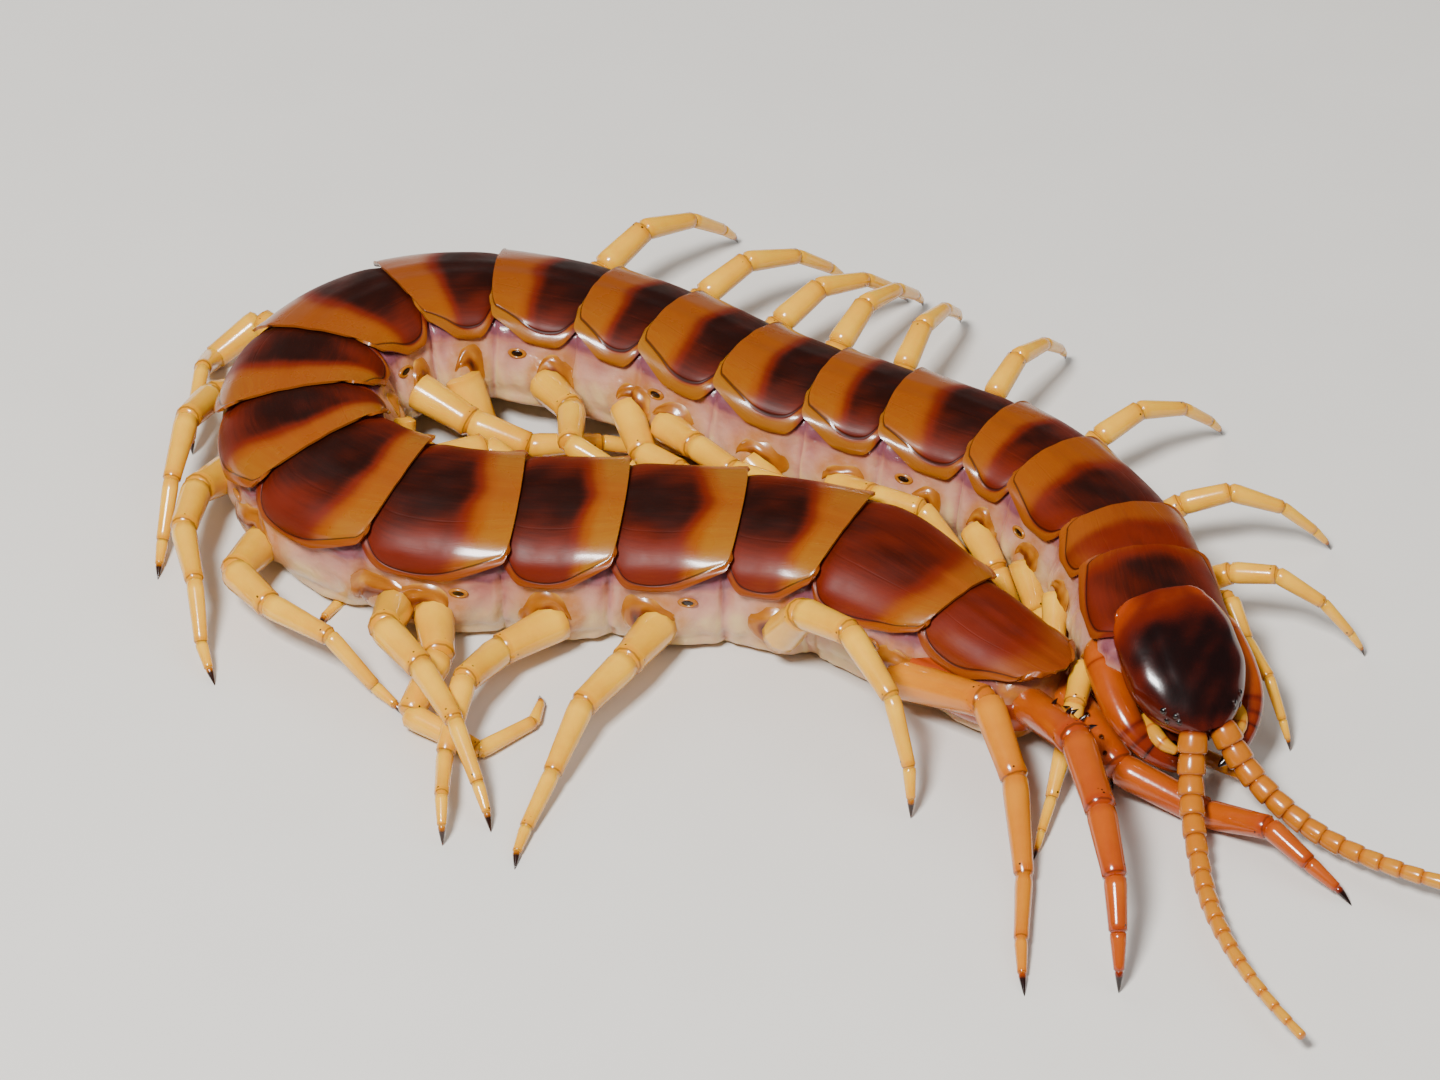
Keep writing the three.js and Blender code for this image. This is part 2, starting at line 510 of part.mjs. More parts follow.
// The trailing legs start behind the last back plate and lie on the ground
function lastLegGeometry(side) {
  const pose = LAST_LEGS[side];
  const frame = bodyFrame(bodyLength);
  const sign = side === 'right' ? 1 : -1;
  const root = frame.origin.clone().addScaledVector(frame.right, sign * LAST_LEG_ROOT.lateral)
    .addScaledVector(frame.up, LAST_LEG_ROOT.height);
  const joints = standingChain(root, frame.back, frame.right, LAST_LEG_ARTICLES.map((article) => article.length),
    pose.bearings, pose.pitches, CLAW_TIP / 2);
  const { centres, radii } = articulated(joints, LAST_LEG_ARTICLES.map((article) => article.thick), CLAW_TIP / 2);
  centres.unshift(root.clone().addScaledVector(frame.back, -LAST_LEG_ROOT.inside));
  radii.unshift(radii[0]);
  let leg = toSolid(loft(tubeRings(centres, radii, LAST_LEG_SIDES)));
  spinules(joints[0], joints[1], sign).forEach((spinule) => {
    leg = leg.add(spinule);
  });
  leg = leg.subtract(trunkClearance).subtract(ground);
  legClearances.filter((other) => other.intersect(leg).volume() > 0).forEach((other) => {
    leg = leg.subtract(other);
  });
  legClearances.push(toSolid(loft(tubeRings(centres, radii.map((radius) => radius + GAP), LAST_LEG_SIDES))));
  return toGeometry(leg);
}

const materials = {
  plate: new THREE.MeshStandardMaterial({ color: 0x5a1c0a, roughness: 0.25, metalness: 0 }),
  leg: new THREE.MeshStandardMaterial({ color: 0xd9b25c, roughness: 0.35, metalness: 0 }),
  head: new THREE.MeshStandardMaterial({ color: 0x6a1508, roughness: 0.2, metalness: 0 }),
  amber: new THREE.MeshStandardMaterial({ color: 0xb5541a, roughness: 0.25, metalness: 0 }),
};

const centipede = new THREE.Group();
function addPiece(name, geometry, material) {
  const mesh = new THREE.Mesh(geometry, material);
  mesh.name = name;
  centipede.add(mesh);
}
const SIDES = ['left', 'right'];
trunkGeometries.forEach((geometry, name) => addPiece(name, geometry, materials.plate));
addPiece('head', toGeometry(toSolid(loft(headRings(0))).subtract(trunkClearance)), materials.head);
addPiece('poison_claw_plate', toGeometry(
  toSolid(loft(clawPlateRings(0))).subtract(headClearance)), materials.amber);
SIDES.forEach((side) => {
  addPiece(`poison_claw_${side}`, toGeometry(toSolid(loft(headLimbRings(POISON_CLAW, side, 0)))
    .subtract(clawPlateClearance).subtract(headClearance).subtract(trunkClearance)), materials.amber);
  addPiece(`palp_${side}`, toGeometry(toSolid(loft(headLimbRings(PALP, side, 0))).subtract(headClearance)
    .subtract(clawPlateClearance).subtract(toSolid(loft(headLimbRings(POISON_CLAW, side, GAP))))
    .subtract(antennaSolid(side, GAP))), materials.leg);
  addPiece(`antenna_${side}`, toGeometry(antennaSolid(side, 0).subtract(headClearance)), materials.amber);
  for (let number = 1; number < SEGMENTS; number++) {
    addPiece(`leg_${side}_${String(number).padStart(2, '0')}`, legGeometry(number, side), materials.leg);
  }
  addPiece(`last_leg_${side}`, lastLegGeometry(side), materials.amber);
});

export default centipede;
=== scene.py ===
"""Looks of a giant centipede at rest on flat ground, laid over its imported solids.

The frame is in metres with +Z up. Every length in this file is in millimetres, and is turned into
metres where a mesh is written. The body is followed from the front edge of the first back plate
(station 0) to the tail, and every piece is placed from that line.
"""
import math

import bpy
import numpy as np
from bpy.props import FloatProperty, IntProperty, PointerProperty, StringProperty
from mathutils import Matrix, Vector


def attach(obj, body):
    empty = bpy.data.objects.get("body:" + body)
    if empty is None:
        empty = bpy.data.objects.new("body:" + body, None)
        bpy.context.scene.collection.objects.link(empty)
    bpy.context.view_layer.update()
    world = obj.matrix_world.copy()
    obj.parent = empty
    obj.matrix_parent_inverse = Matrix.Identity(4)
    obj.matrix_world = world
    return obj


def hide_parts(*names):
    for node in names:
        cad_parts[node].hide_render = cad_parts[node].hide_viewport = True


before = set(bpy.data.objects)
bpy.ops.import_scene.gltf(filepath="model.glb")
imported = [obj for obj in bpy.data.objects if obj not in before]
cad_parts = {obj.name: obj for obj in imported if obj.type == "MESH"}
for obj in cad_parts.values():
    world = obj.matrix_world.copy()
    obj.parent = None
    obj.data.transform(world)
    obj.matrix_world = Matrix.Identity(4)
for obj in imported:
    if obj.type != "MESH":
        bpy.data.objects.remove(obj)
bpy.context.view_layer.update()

bl_info = {
    "name": "Giant centipede",
    "version": (1, 0, 0),
    "blender": (4, 5, 0),
    "location": "View3D > Sidebar > Centipede",
    "description": "Models and finishes a life-size giant centipede over its packed solids",
    "category": "Object",
}

MM = 0.001
SIDES = ("left", "right")
SIGN = {"left": -1, "right": 1}

# The line of the body, as in the part
BODY_START = (21.07, -12.69)
HEADING_STEP = 9
HEADINGS = (97, 105, 128, 153, 156, 147, 158, 182, 230, 280, 328, 354, 354, 349, 318, 316)
ROLL = ((0, 7), (18, 8), (36, 9), (52, 13), (66, 14), (82, 10), (100, 4), (114, 0))
LIFT = ((0, 2.2), (8, 1.6), (18, 0.5), (28, 0), (128, 0), (139, 0.4))
PLATE_LENGTHS = (
    7.1, 4.6, 7.2, 4.8, 6.8, 5.5, 6.3, 6.3, 5.5, 6.8, 6.3, 6.8, 5.8, 5.3, 6.3, 7.7, 7.0, 7.7, 7.2, 9.5, 7.7,
)
SEGMENTS = len(PLATE_LENGTHS)
BODY_LENGTH = sum(PLATE_LENGTHS)
PLATE_STARTS = tuple(sum(PLATE_LENGTHS[:i]) for i in range(SEGMENTS))
WIDTH = ((0, 9.6), (10, 9.4), (24, 10.0), (45, 11.0), (70, 11.8), (112, 11.7), (122, 11.1),
         (129, 9.5), (132, 7.6), (139, 6.6))
HEIGHT = ((0, 7.2), (12, 7.8), (30, 8.5), (110, 8.6), (122, 8.3), (130, 7.6), (139, 6.2))
BELLY_SHARE = 0.5
ROLL_CLEARANCE = 1.1

# Half sections as shares of the half width and of the height
SKIN_SIDE = (
    (0.0, 0.02), (0.5, 0.012), (0.8, 0.04), (0.93, 0.14), (0.985, 0.3), (0.97, 0.45), (0.93, 0.57),
    (0.94, 0.635), (0.88, 0.735), (0.66, 0.835), (0.34, 0.895), (0.0, 0.91),
)
PLATE_SIDE = ((0.0, 1.0), (0.34, 0.985), (0.66, 0.93), (0.9, 0.82), (1.0, 0.675), (0.985, 0.625))
PLATE_SWELL = ((-0.05, 0.925), (0.03, 0.938), (0.2, 0.98), (0.5, 0.998), (0.85, 1.02), (1.06, 1.04))
SKIN_SWELL = ((0, 0.925), (0.05, 0.945), (0.14, 0.965), (0.3, 0.985), (0.55, 1.005), (0.8, 1.0), (0.93, 0.99),
              (0.968, 0.985), (0.985, 0.955), (1, 0.925))
# How much of the half section a back plate covers, from its front edge to its rear edge
PLATE_REACH = ((-0.05, 0.62), (0.0, 0.76), (0.07, 0.88), (0.15, 0.955), (0.26, 0.99), (0.42, 1.0),
               (0.6, 0.972), (0.8, 0.895), (1.0, 0.81), (1.06, 0.79))

# Walking legs, as in the part
LEG_ARTICLES = ((4.6, 2.4), (4.4, 2.2), (5.2, 1.8), (4.3, 1.2), (1.9, 0.9), (1.2, 0.55))
LEG_SCALE = ((1, 0.66), (4, 0.78), (8, 0.88), (12, 0.98), (15, 1.04), (19, 1.06), (20, 1.3))
STOUTEST = 1.0
HINDMOST = 20
HINDMOST_PREFEMUR = 8.2
LEG_HEIGHT = 0.3
LEG_ALONG = 0.52
CLAW_TIP = 0.24
MOST_TILT = 60.0
TILT_TRIALS = 30
STEEPEST = 88
STRIDE_BEARING = 12
STRIDE_SWING = 16
STRIDE_WAVE = 8
STRIDE_TURNS = (0, 4, 6, 2, -4, -8)
STRIDE_PITCHES = (28, 8, -28, -50, -58, -62)
# Poses of legs that are seen: shift along the body, bearings and pitches of the articles
LEG_POSES = {
    "left_01": (4, (58, 82, 80, 80, 78, 80), (36, -30, -8, -42, -50, -54)),
    "left_11": (7, (-10, -72, -132, -130, -130, -132), (10, -28, 30, -10, -46, -72)),
    "left_12": (4, (-70, -98, -106, -106, -112, -114), (24, 16, -18, -40, -16, -14)),
    "left_13": (3.5, (-60, -76, -96, -92, -102, -108), (22, 2, -4, -34, -22, -28)),
    "left_14": (3, (-36, -90, -106, -116, -100, -96), (14, 4, 2, -42, -10, -12)),
    "left_15": (5, (-14, -54, -46, -42, -40, -36), (22, 0, -4, -26, -30, -36)),
    "left_16": (0, (-20, 10, -72, -144, -182, -200), (2, -18, -6, -2, -4, -12)),
    "left_17": (0, (48, 24, 8, -4, -6, -6), (0, 12, -20, 8, -30, -56)),
    "left_18": (-0.5, (20, 30, 14, 14, 8, -2), (6, -4, -14, -10, -4, -10)),
    "left_19": (1, (-44, -56, -44, -36, -22, -16), (54, 16, -16, -48, -60, -60)),
    "left_20": (4, (-90, -62, -48, -40, -44, -48), (20, -20, -20, 0, -10, -10)),
    "right_01": (-2.5, (68, 60, 66, 66, 66, 66), (-10, -48, -30, -8, -14, -14)),
    "right_02": (0, (70, 112, 88, 84, 82, 82), (-28, -24, -14, -16, -12, -14)),
    "right_03": (0, (82, 102, 104, 96, 90, 88), (-44, -8, -12, -2, -4, -12)),
    "right_04": (0, (64, 78, 62, 64, 66, 68), (-14, -50, -4, 2, -2, -10)),
    "right_05": (0, (84, 86, 72, 58, 40, 46), (-58, -2, 6, -12, -8, -6)),
    "right_06": (0, (68, 86, 80, 82, 84, 80), (18, 4, -40, -32, -12, -12)),
    "right_07": (0, (72, 92, 94, 62, 68, 70), (-20, -32, -4, 0, -2, -10)),
    "right_08": (0, (66, 74, 118, 122, 104, 102), (12, 4, -16, -40, -26, -50)),
    "right_09": (-2.5, (48, 72, 130, 128, 122, 122), (-14, 12, -54, 4, -8, -30)),
    "right_10": (-1.5, (44, 18, 80, 118, 116, 118), (10, 4, -16, -38, -36, -42)),
    "right_11": (0, (34, 60, 70, 82, 78, 80), (-56, -4, -4, 2, -10, -12)),
    "right_12": (0, (16, 30, 58, 60, 58, 60), (-14, -14, -6, -20, -12, -14)),
    "right_13": (0, (-84, -54, -108, -110, -104, -102), (-60, -2, -6, 2, 10, -10)),
    "right_14": (0, (4, -14, -104, -36, -24, -32), (-42, -4, -2, -2, -4, -8)),
    "right_15": (0, (-26, -72, -76, -62, -64, -66), (2, -32, -12, 2, -10, -12)),
    "right_16": (0, (-60, -50, -58, -76, -88, -86), (8, -32, -10, -2, -4, -10)),
    "right_17": (0, (-60, -64, -86, -92, -114, -112), (-16, -8, -10, 0, 2, -8)),
    "right_18": (0, (-72, -72, -100, -100, -112, -110), (-24, -4, 0, 0, 0, -10)),
    "right_19": (0, (-80, -112, -128, -142, -140, -138), (0, -12, -12, 0, -2, -10)),
    "right_20": (0.5, (-90, -90, -96, -90, -88, -84), (-2, -14, 0, 8, -16, -26)),
}
LAST_LEG_ARTICLES = ((8.0, 2.6), (6.2, 2.3), (4.8, 2.0), (3.4, 1.5), (2.3, 1.1), (1.4, 0.6))
LAST_LEGS = {
    "left": ((-24, -36, -38, -44, -44, -46), (22, -2, -16, -34, -48, -58)),
    "right": ((-18, 16, 6, -2, 4, 2), (-10, -12, 18, -14, -20, -26)),
}
LAST_LEG_LATERAL = 1.55
LAST_LEG_HEIGHT = 3.1
LEG_FLARE = 0.24
# Height and radius along an article, a claw and an article of an antenna, as shares of its length and
# thickness
ARTICLE_PROFILE = ((-0.04, 0.32), (0.01, 0.465), (0.14, 0.5), (0.84, 0.495), (0.955, 0.505), (1.02, 0.34))
CLAW_PROFILE = ((-0.1, 0.26), (0.0, 0.42), (0.12, 0.45), (0.3, 0.38), (0.5, 0.29), (0.7, 0.2), (0.87, 0.11),
                (1.0, 0.03))
# Small spines of a trailing leg: place along its first article, and angle round it in degrees
SPINULES = ((0.42, 20), (0.5, 75), (0.56, -25), (0.66, 40), (0.74, 70), (0.8, 5), (0.88, 50), (0.92, 20))
SPINULE_OUT = 0.55
SPINULE_BACK = 0.25
SPINULE_THICK = 0.4

# Head, as in the part
HEAD_YAW = 12
HEAD_BEHIND = 2.3
HEAD_LIP = 0.85
HEAD_REACH = 10.2
HEAD_STEP = 0.1
HEAD_PLATE_THICK = 0.16
PLATE_AROUND = 0.64
TEETH = 4
TOOTH = {"radius1": 0.2, "radius2": 0.06, "depth": 0.6}
# Places of the simple eyes: distance from the rear edge of the head, place round it, share of the size
EYES = ((8.3, 0.35, 1.0), (8.85, 0.29, 0.85), (8.95, 0.39, 0.9), (9.25, 0.31, 0.75))
HEAD_PITCH = ((0, 5), (2.4, 16), (5, 28), (8, 42), (10.2, 52))
HEAD_RINGS = ((0, 2.3, 1.5), (0.7, 3.0, 2.2), (2.2, 3.55, 3.2), (4.4, 3.7, 3.6), (6.6, 3.55, 3.6),
              (8.4, 2.9, 3.2), (9.6, 2.0, 2.6), (10.2, 1.1, 1.9))
HEAD_SIDE = ((0, 0), (0.42, 0.03), (0.76, 0.13), (0.95, 0.32), (1.0, 0.52), (0.86, 0.82), (0.45, 1.0),
             (0, 1.0))
CLAW_PLATE_RINGS = ((-3.0, 4.2, 3.2, 6.8), (-1.4, 4.5, 3.0, 6.8), (-0.4, 4.1, 2.9, 6.5), (0.7, 2.5, 2.8, 6.2),
                    (4.6, 1.9, 2.6, 4.8))
POISON_CLAW = ((2.8, -2.8, 6.1, 2.2), (3.9, -1.9, 6.4, 2.5), (4.2, -0.4, 6.1, 2.4), (4.3, 1.4, 5.4, 2.3),
               (4.1, 3.2, 4.7, 2.0), (3.3, 4.7, 3.8, 1.7), (2.0, 6.0, 3.2, 1.2), (0.6, 6.7, 2.8, 0.3))
PALP = ((2.7, 2.6, 4.6, 1.0), (2.9, 4.2, 4.7, 1.1), (2.6, 5.3, 4.5, 1.0), (1.9, 6.0, 4.2, 0.5))
ANTENNA_PROFILE = ((-0.04, 0.3), (0.0, 0.41), (0.07, 0.445), (0.25, 0.475), (0.6, 0.5), (0.85, 0.505),
                   (0.95, 0.485), (1.0, 0.42), (1.03, 0.28))
ANTENNA_SIDES = 16
ANTENNA_ARTICLES = 18
ANTENNA_LENGTH = 25
ANTENNA_THICK = 2.0
ANTENNA_TIP = 0.6
ANTENNA_ROOT = (0.95, 5.9, 5.6)
ANTENNA_PATHS = {
    "right": (((0, 24), (0.3, 14), (1, -12)), ((0, -50), (0.2, -20), (0.5, 4), (1, 0))),
    "left": (((0, 20), (0.4, 34), (1, 62)), ((0, -42), (0.2, -18), (0.5, 4), (1, 0))),
}

SPIRACLE_SEGMENTS = (3, 5, 8, 10, 12, 14, 16, 18, 20)
# Radius, wall, flatness and tone of the two forms of a breathing hole; the slit's tone of 0 is painted shade
# inside the opening
SPIRACLE_FORMS = (("ring", 0.42, 0.13, 1.0, 0.72), ("slit", 0.36, None, 0.3, 0.0))
# Finish of each back plate: tone of its middle, tone of its sides, where the amber band starts, tone of the
# band, tone of the rim, width of the rim in millimetres
PLATE_TONES = (
    (0.05, 0.27, 0.84, 0.52, 0.5, 0.5), (0.26, 0.42, 0.56, 0.66, 0.6, 0.45),
    (0.05, 0.28, 0.6, 0.74, 0.64, 0.5), (0.08, 0.3, 0.54, 0.76, 0.7, 0.6),
    (0.03, 0.24, 0.54, 0.78, 0.74, 0.7), (0.02, 0.2, 0.52, 0.8, 0.76, 0.8),
    (0.02, 0.18, 0.52, 0.8, 0.78, 0.85), (0.02, 0.17, 0.52, 0.8, 0.78, 0.85),
    (0.02, 0.17, 0.52, 0.8, 0.76, 0.85), (0.02, 0.18, 0.54, 0.78, 0.76, 0.8),
    (0.02, 0.2, 0.56, 0.76, 0.72, 0.7), (0.02, 0.22, 0.58, 0.76, 0.68, 0.6),
    (0.02, 0.23, 0.6, 0.8, 0.64, 0.5), (0.02, 0.24, 0.62, 0.82, 0.58, 0.42),
    (0.02, 0.26, 0.64, 0.84, 0.54, 0.4), (0.03, 0.28, 0.64, 0.88, 0.52, 0.4),
    (0.03, 0.3, 0.64, 0.9, 0.52, 0.4), (0.03, 0.32, 0.64, 0.9, 0.52, 0.4),
    (0.03, 0.33, 0.62, 0.88, 0.54, 0.4), (0.14, 0.32, 0.74, 0.84, 0.56, 0.4),
    (0.22, 0.4, 0.66, 0.58, 0.54, 0.4),
)
FLESH_START = -2.4
FLESH_END = BODY_LENGTH + 1.2
# Heights as shares of the body's height, and the share of the half width that the soft side has there
FLANK_SHARE = ((0.01, 0.04, 0.14, 0.3, 0.45, 0.57, 0.64), (0.6, 0.8, 0.93, 0.985, 0.97, 0.93, 0.94))
# Corners at the rear of a back plate, and of the last one
REAR_CORNER = 0.4
TAIL_CORNER = 1.1
BELLY_PLATE_THICK = 0.12
LEG_SHIELD_THICK = 0.1
# Station, place across, height and radius of the lobes beside the tail
TAIL_LOBE = ((129.6, 3.3, 3.0, 0.9), (131.2, 3.25, 2.9, 1.45), (133.4, 3.05, 2.75, 1.6),
             (135.8, 2.75, 2.6, 1.55), (137.9, 2.35, 2.45, 1.25), (139.4, 1.95, 2.2, 0.5))
# Faces across and along each kind of sheet
FLESH_GRID = (104, 760)
BACK_PLATE_GRID = (84, 56)
BELLY_PLATE_GRID = (18, 14)
LEG_SHIELD_GRID = (26, 9)
HEAD_GRID = (64, 60)
HEAD_BASE_GRID = (48, 44)
CLAW_PLATE_GRID = (44, 36)
# How far the highest points are eased down, and the heights between which that starts and is complete,
# in metres
TOP_EASE = 0.00037
EASE_FROM = 0.0075
EASE_TO = 0.0109
MERGE_DISTANCE = 2e-6

# Stage: place and size of each soft light in metres, and the setting that holds its power
LIGHTS = {
    "key": ((-0.13, -0.2, 0.36), 0.09, "key"),
    "fill": ((0.3, -0.1, 0.32), 0.45, "fill"),
    "rim": ((-0.2, 0.34, 0.26), 0.4, "fill"),
}
SKY_COLOR = "eef1f5"
FLOOR_SIZE = 3
CAMERA_TARGET = (-6.83, 2.21, 4.0)
SENSOR_WIDTH = 36
CLIP_START = 0.01


def between(keys, x):
    """Smooth value between pairs of place and value."""
    places = np.array([key[0] for key in keys], float)
    values = np.array([key[1] for key in keys], float)
    x = np.asarray(x, float)
    upper = np.clip(np.searchsorted(places, x), 1, len(places) - 1)
    share = np.clip((x - places[upper - 1]) / (places[upper] - places[upper - 1]), 0, 1)
    return values[upper - 1] + (values[upper] - values[upper - 1]) * share * share * (3 - 2 * share)


def glide(keys, x):
    """Value at x on the smooth curve through pairs of place and value."""
    curve = smooth_line(keys)
    return np.interp(x, curve[:, 0], curve[:, 1])


def step_up(x, low, high):
    """0 below low, 1 above high and smooth between them."""
    share = np.clip((np.asarray(x, float) - low) / (high - low), 0, 1)
    return share * share * (3 - 2 * share)


def bell(x, centre, width):
    """1 at the centre, falling smoothly to 0 on both sides."""
    return np.exp(-((x - centre) / width) ** 2)


def ripple(x, y, seed=0.0):
    """Slow uneven waves between -1 and 1, the same on every run."""
    return (np.sin(x * 1.7 + 1.3 * np.sin(y * 1.1 + seed) + seed)
            + np.sin(y * 2.3 + 1.7 * np.sin(x * 0.9 - seed) + 2.1 * seed)
            + np.sin(x * 3.1 - y * 2.7 + seed * 0.7)) / 3


def heading_at(station):
    """Direction of the body from head to tail, in radians."""
    headings = np.array(HEADINGS, float)
    last = len(headings) - 1
    t = np.clip(np.asarray(station, float) / HEADING_STEP, 0, last - 1e-9)
    i = np.floor(t).astype(int)
    f = t - i

    def slope(k):
        lower = np.maximum(k - 1, 0)
        upper = np.minimum(k + 1, last)
        return (headings[upper] - headings[lower]) / (upper - lower)

    degrees = (headings[i] * (1 + 2 * f) * (1 - f) ** 2 + slope(i) * f * (1 - f) ** 2
               + headings[i + 1] * f * f * (3 - 2 * f) + slope(i + 1) * f * f * (f - 1))
    return np.radians(degrees)


PATH_STEP = 0.25
PATH_SPARE = 15
PATH_STATIONS = np.arange(-PATH_SPARE, BODY_LENGTH + PATH_SPARE, PATH_STEP)


def body_line():
    """Points of the body's middle line on the ground, at PATH_STATIONS."""
    headings = heading_at(PATH_STATIONS[:-1] + PATH_STEP / 2)
    steps = PATH_STEP * np.stack([np.cos(headings), np.sin(headings)], axis=1)
    points = np.vstack([np.zeros((1, 2)), np.cumsum(steps, axis=0)])
    start = int(round(PATH_SPARE / PATH_STEP))
    return points + np.array(BODY_START) - points[start]


PATH_POINTS = body_line()


def body_frames(station):
    """Origins and axes of the body: right is the animal's right, back points to the tail."""
    station = np.atleast_1d(np.asarray(station, float))
    heading = heading_at(station)
    roll = np.radians(between(ROLL, station))
    half_belly = BELLY_SHARE * between(WIDTH, station) / 2
    zero = np.zeros_like(station)
    level = np.stack([-np.sin(heading), np.cos(heading), zero], axis=1)
    right = level * np.cos(roll)[:, None]
    right[:, 2] = np.sin(roll)
    up = -level * np.sin(roll)[:, None]
    up[:, 2] = np.cos(roll)
    back = np.stack([np.cos(heading), np.sin(heading), zero], axis=1)
    lift = between(LIFT, station) + (half_belly + ROLL_CLEARANCE) * np.sin(roll)
    origin = np.stack([np.interp(station, PATH_STATIONS, PATH_POINTS[:, 0]),
                       np.interp(station, PATH_STATIONS, PATH_POINTS[:, 1]), lift], axis=1)
    return {"origin": origin, "right": right, "up": up, "back": back, "level": level}


def frame_at(station):
    """Origin and axes of the body at one station."""
    return {key: value[0] for key, value in body_frames(station).items()}


def on_body(station, across, upwards):
    """Points beside and above the belly's middle line, at stations along the body."""
    axes = body_frames(station)
    across = np.broadcast_to(across, len(axes["origin"]))
    upwards = np.broadcast_to(upwards, len(axes["origin"]))
    return axes["origin"] + axes["right"] * across[:, None] + axes["up"] * upwards[:, None]


def smooth_line(points, steps=14):
    """A dense smooth line through the given points."""
    given = np.array(points, float)
    padded = np.vstack([2 * given[0] - given[1], given, 2 * given[-1] - given[-2]])
    parts = []
    f = (np.arange(steps) / steps)[:, None]
    for i in range(1, len(padded) - 2):
        a, b, c, d = padded[i - 1:i + 3]
        parts.append(0.5 * (2 * b + (c - a) * f + (2 * a - 5 * b + 4 * c - d) * f ** 2
                            + (3 * b - a - 3 * c + d) * f ** 3))
    parts.append(given[-1:])
    return np.vstack(parts)


def along(line, share):
    """Points at shares of a line's length."""
    lengths = np.concatenate([[0], np.cumsum(np.linalg.norm(np.diff(line, axis=0), axis=1))])
    place = np.clip(share, 0, 1) * lengths[-1]
    return np.stack([np.interp(place, lengths, line[:, k]) for k in range(line.shape[1])], axis=1)


def both_sides(half):
    """A half section and its mirror image, from the left edge over the middle to the right edge."""
    return [(-x, y) for x, y in reversed(half[1:])] + list(half)


PLATE_LINE = smooth_line(both_sides(PLATE_SIDE))
SKIN_LINE = smooth_line(list(SKIN_SIDE) + [(-x, y) for x, y in reversed(SKIN_SIDE[:-1])])
HEAD_LINE = smooth_line(both_sides(HEAD_SIDE))


# Making meshes

def deselect_all():
    if bpy.context.object and bpy.context.object.mode != "OBJECT":
        bpy.ops.object.mode_set(mode="OBJECT")
    bpy.ops.object.select_all(action="DESELECT")


def select(piece):
    deselect_all()
    piece.select_set(True)
    bpy.context.view_layer.objects.active = piece


def name_piece(piece, name):
    piece.name = name
    piece.data.name = name
    return piece


def read_points(mesh):
    flat = np.empty(len(mesh.vertices) * 3)
    mesh.vertices.foreach_get("co", flat)
    return flat.reshape(-1, 3)


def write_points(mesh, points):
    mesh.vertices.foreach_set("co", np.ascontiguousarray(points, dtype=np.float32).ravel())
    mesh.update()


def write_values(mesh, name, values):
    attribute = mesh.attributes.get(name) or mesh.attributes.new(name, "FLOAT", "POINT")
    spread_out = np.broadcast_to(np.asarray(values, dtype=np.float32), len(mesh.vertices))
    attribute.data.foreach_set("value", np.ascontiguousarray(spread_out))


def write_tone(mesh, values):
    """Tone runs from 0, the darkest of a finish, to 1, the palest."""
    write_values(mesh, "tone", values)


def sheet(name, grid, place, **values):
    """A grid whose points are laid out by place(s, t), with s and t from 0 to 1, in millimetres.
    Each further function gives the values of the attribute that it is named after."""
    deselect_all()
    bpy.ops.mesh.primitive_grid_add(x_subdivisions=grid[0], y_subdivisions=grid[1], size=1)
    piece = name_piece(bpy.context.object, name)
    flat = read_points(piece.data)
    s = flat[:, 0] + 0.5
    t = flat[:, 1] + 0.5
    write_points(piece.data, place(s, t) * MM)
    for label, value in values.items():
        write_values(piece.data, label, value(s, t))
    return piece


def turn_outwards(piece, merge=None):
    """Turns the faces of a closed form outwards, after merging points that are this close."""
    select(piece)
    bpy.ops.object.mode_set(mode="EDIT")
    bpy.ops.mesh.select_all(action="SELECT")
    if merge:
        bpy.ops.mesh.remove_doubles(threshold=merge)
    bpy.ops.mesh.normals_make_consistent(inside=False)
    bpy.ops.object.mode_set(mode="OBJECT")
    return piece


def close_up(piece):
    """Merges the seam and the poles of a sheet that closes on itself."""
    return turn_outwards(piece, MERGE_DISTANCE)


def thicken(piece, thickness, offset=-1.0):
    select(piece)
    wall = piece.modifiers.new("Wall", "SOLIDIFY")
    wall.thickness = thickness * MM
    wall.offset = offset
    bpy.ops.object.modifier_apply(modifier=wall.name)
    return piece


def smooth(piece, degrees=50):
    select(piece)
    bpy.ops.object.shade_smooth_by_angle(angle=math.radians(degrees))
    return piece


def paint(piece, *materials):
    piece.data.materials.clear()
    for material in materials:
        piece.data.materials.append(material)
    return piece


def settle(piece, slot, *nodes):
    """Rides on the body and stands for its solids; its slot is not used. Nothing of it is below
    the ground, and the last millimetres are eased in so that it stays under the top of the solids."""
    points = read_points(piece.data)
    points[:, 2] = np.maximum(points[:, 2], 0)
    points[:, 2] -= TOP_EASE * step_up(points[:, 2], EASE_FROM, EASE_TO)
    write_points(piece.data, points)
    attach(piece, "root")
    if nodes:
        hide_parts(*nodes)
    return piece


def join(name, parts):
    deselect_all()
    for part in parts:
        part.select_set(True)
    bpy.context.view_layer.objects.active = parts[0]
    if len(parts) > 1:
        bpy.ops.object.join()
    return name_piece(bpy.context.object, name)


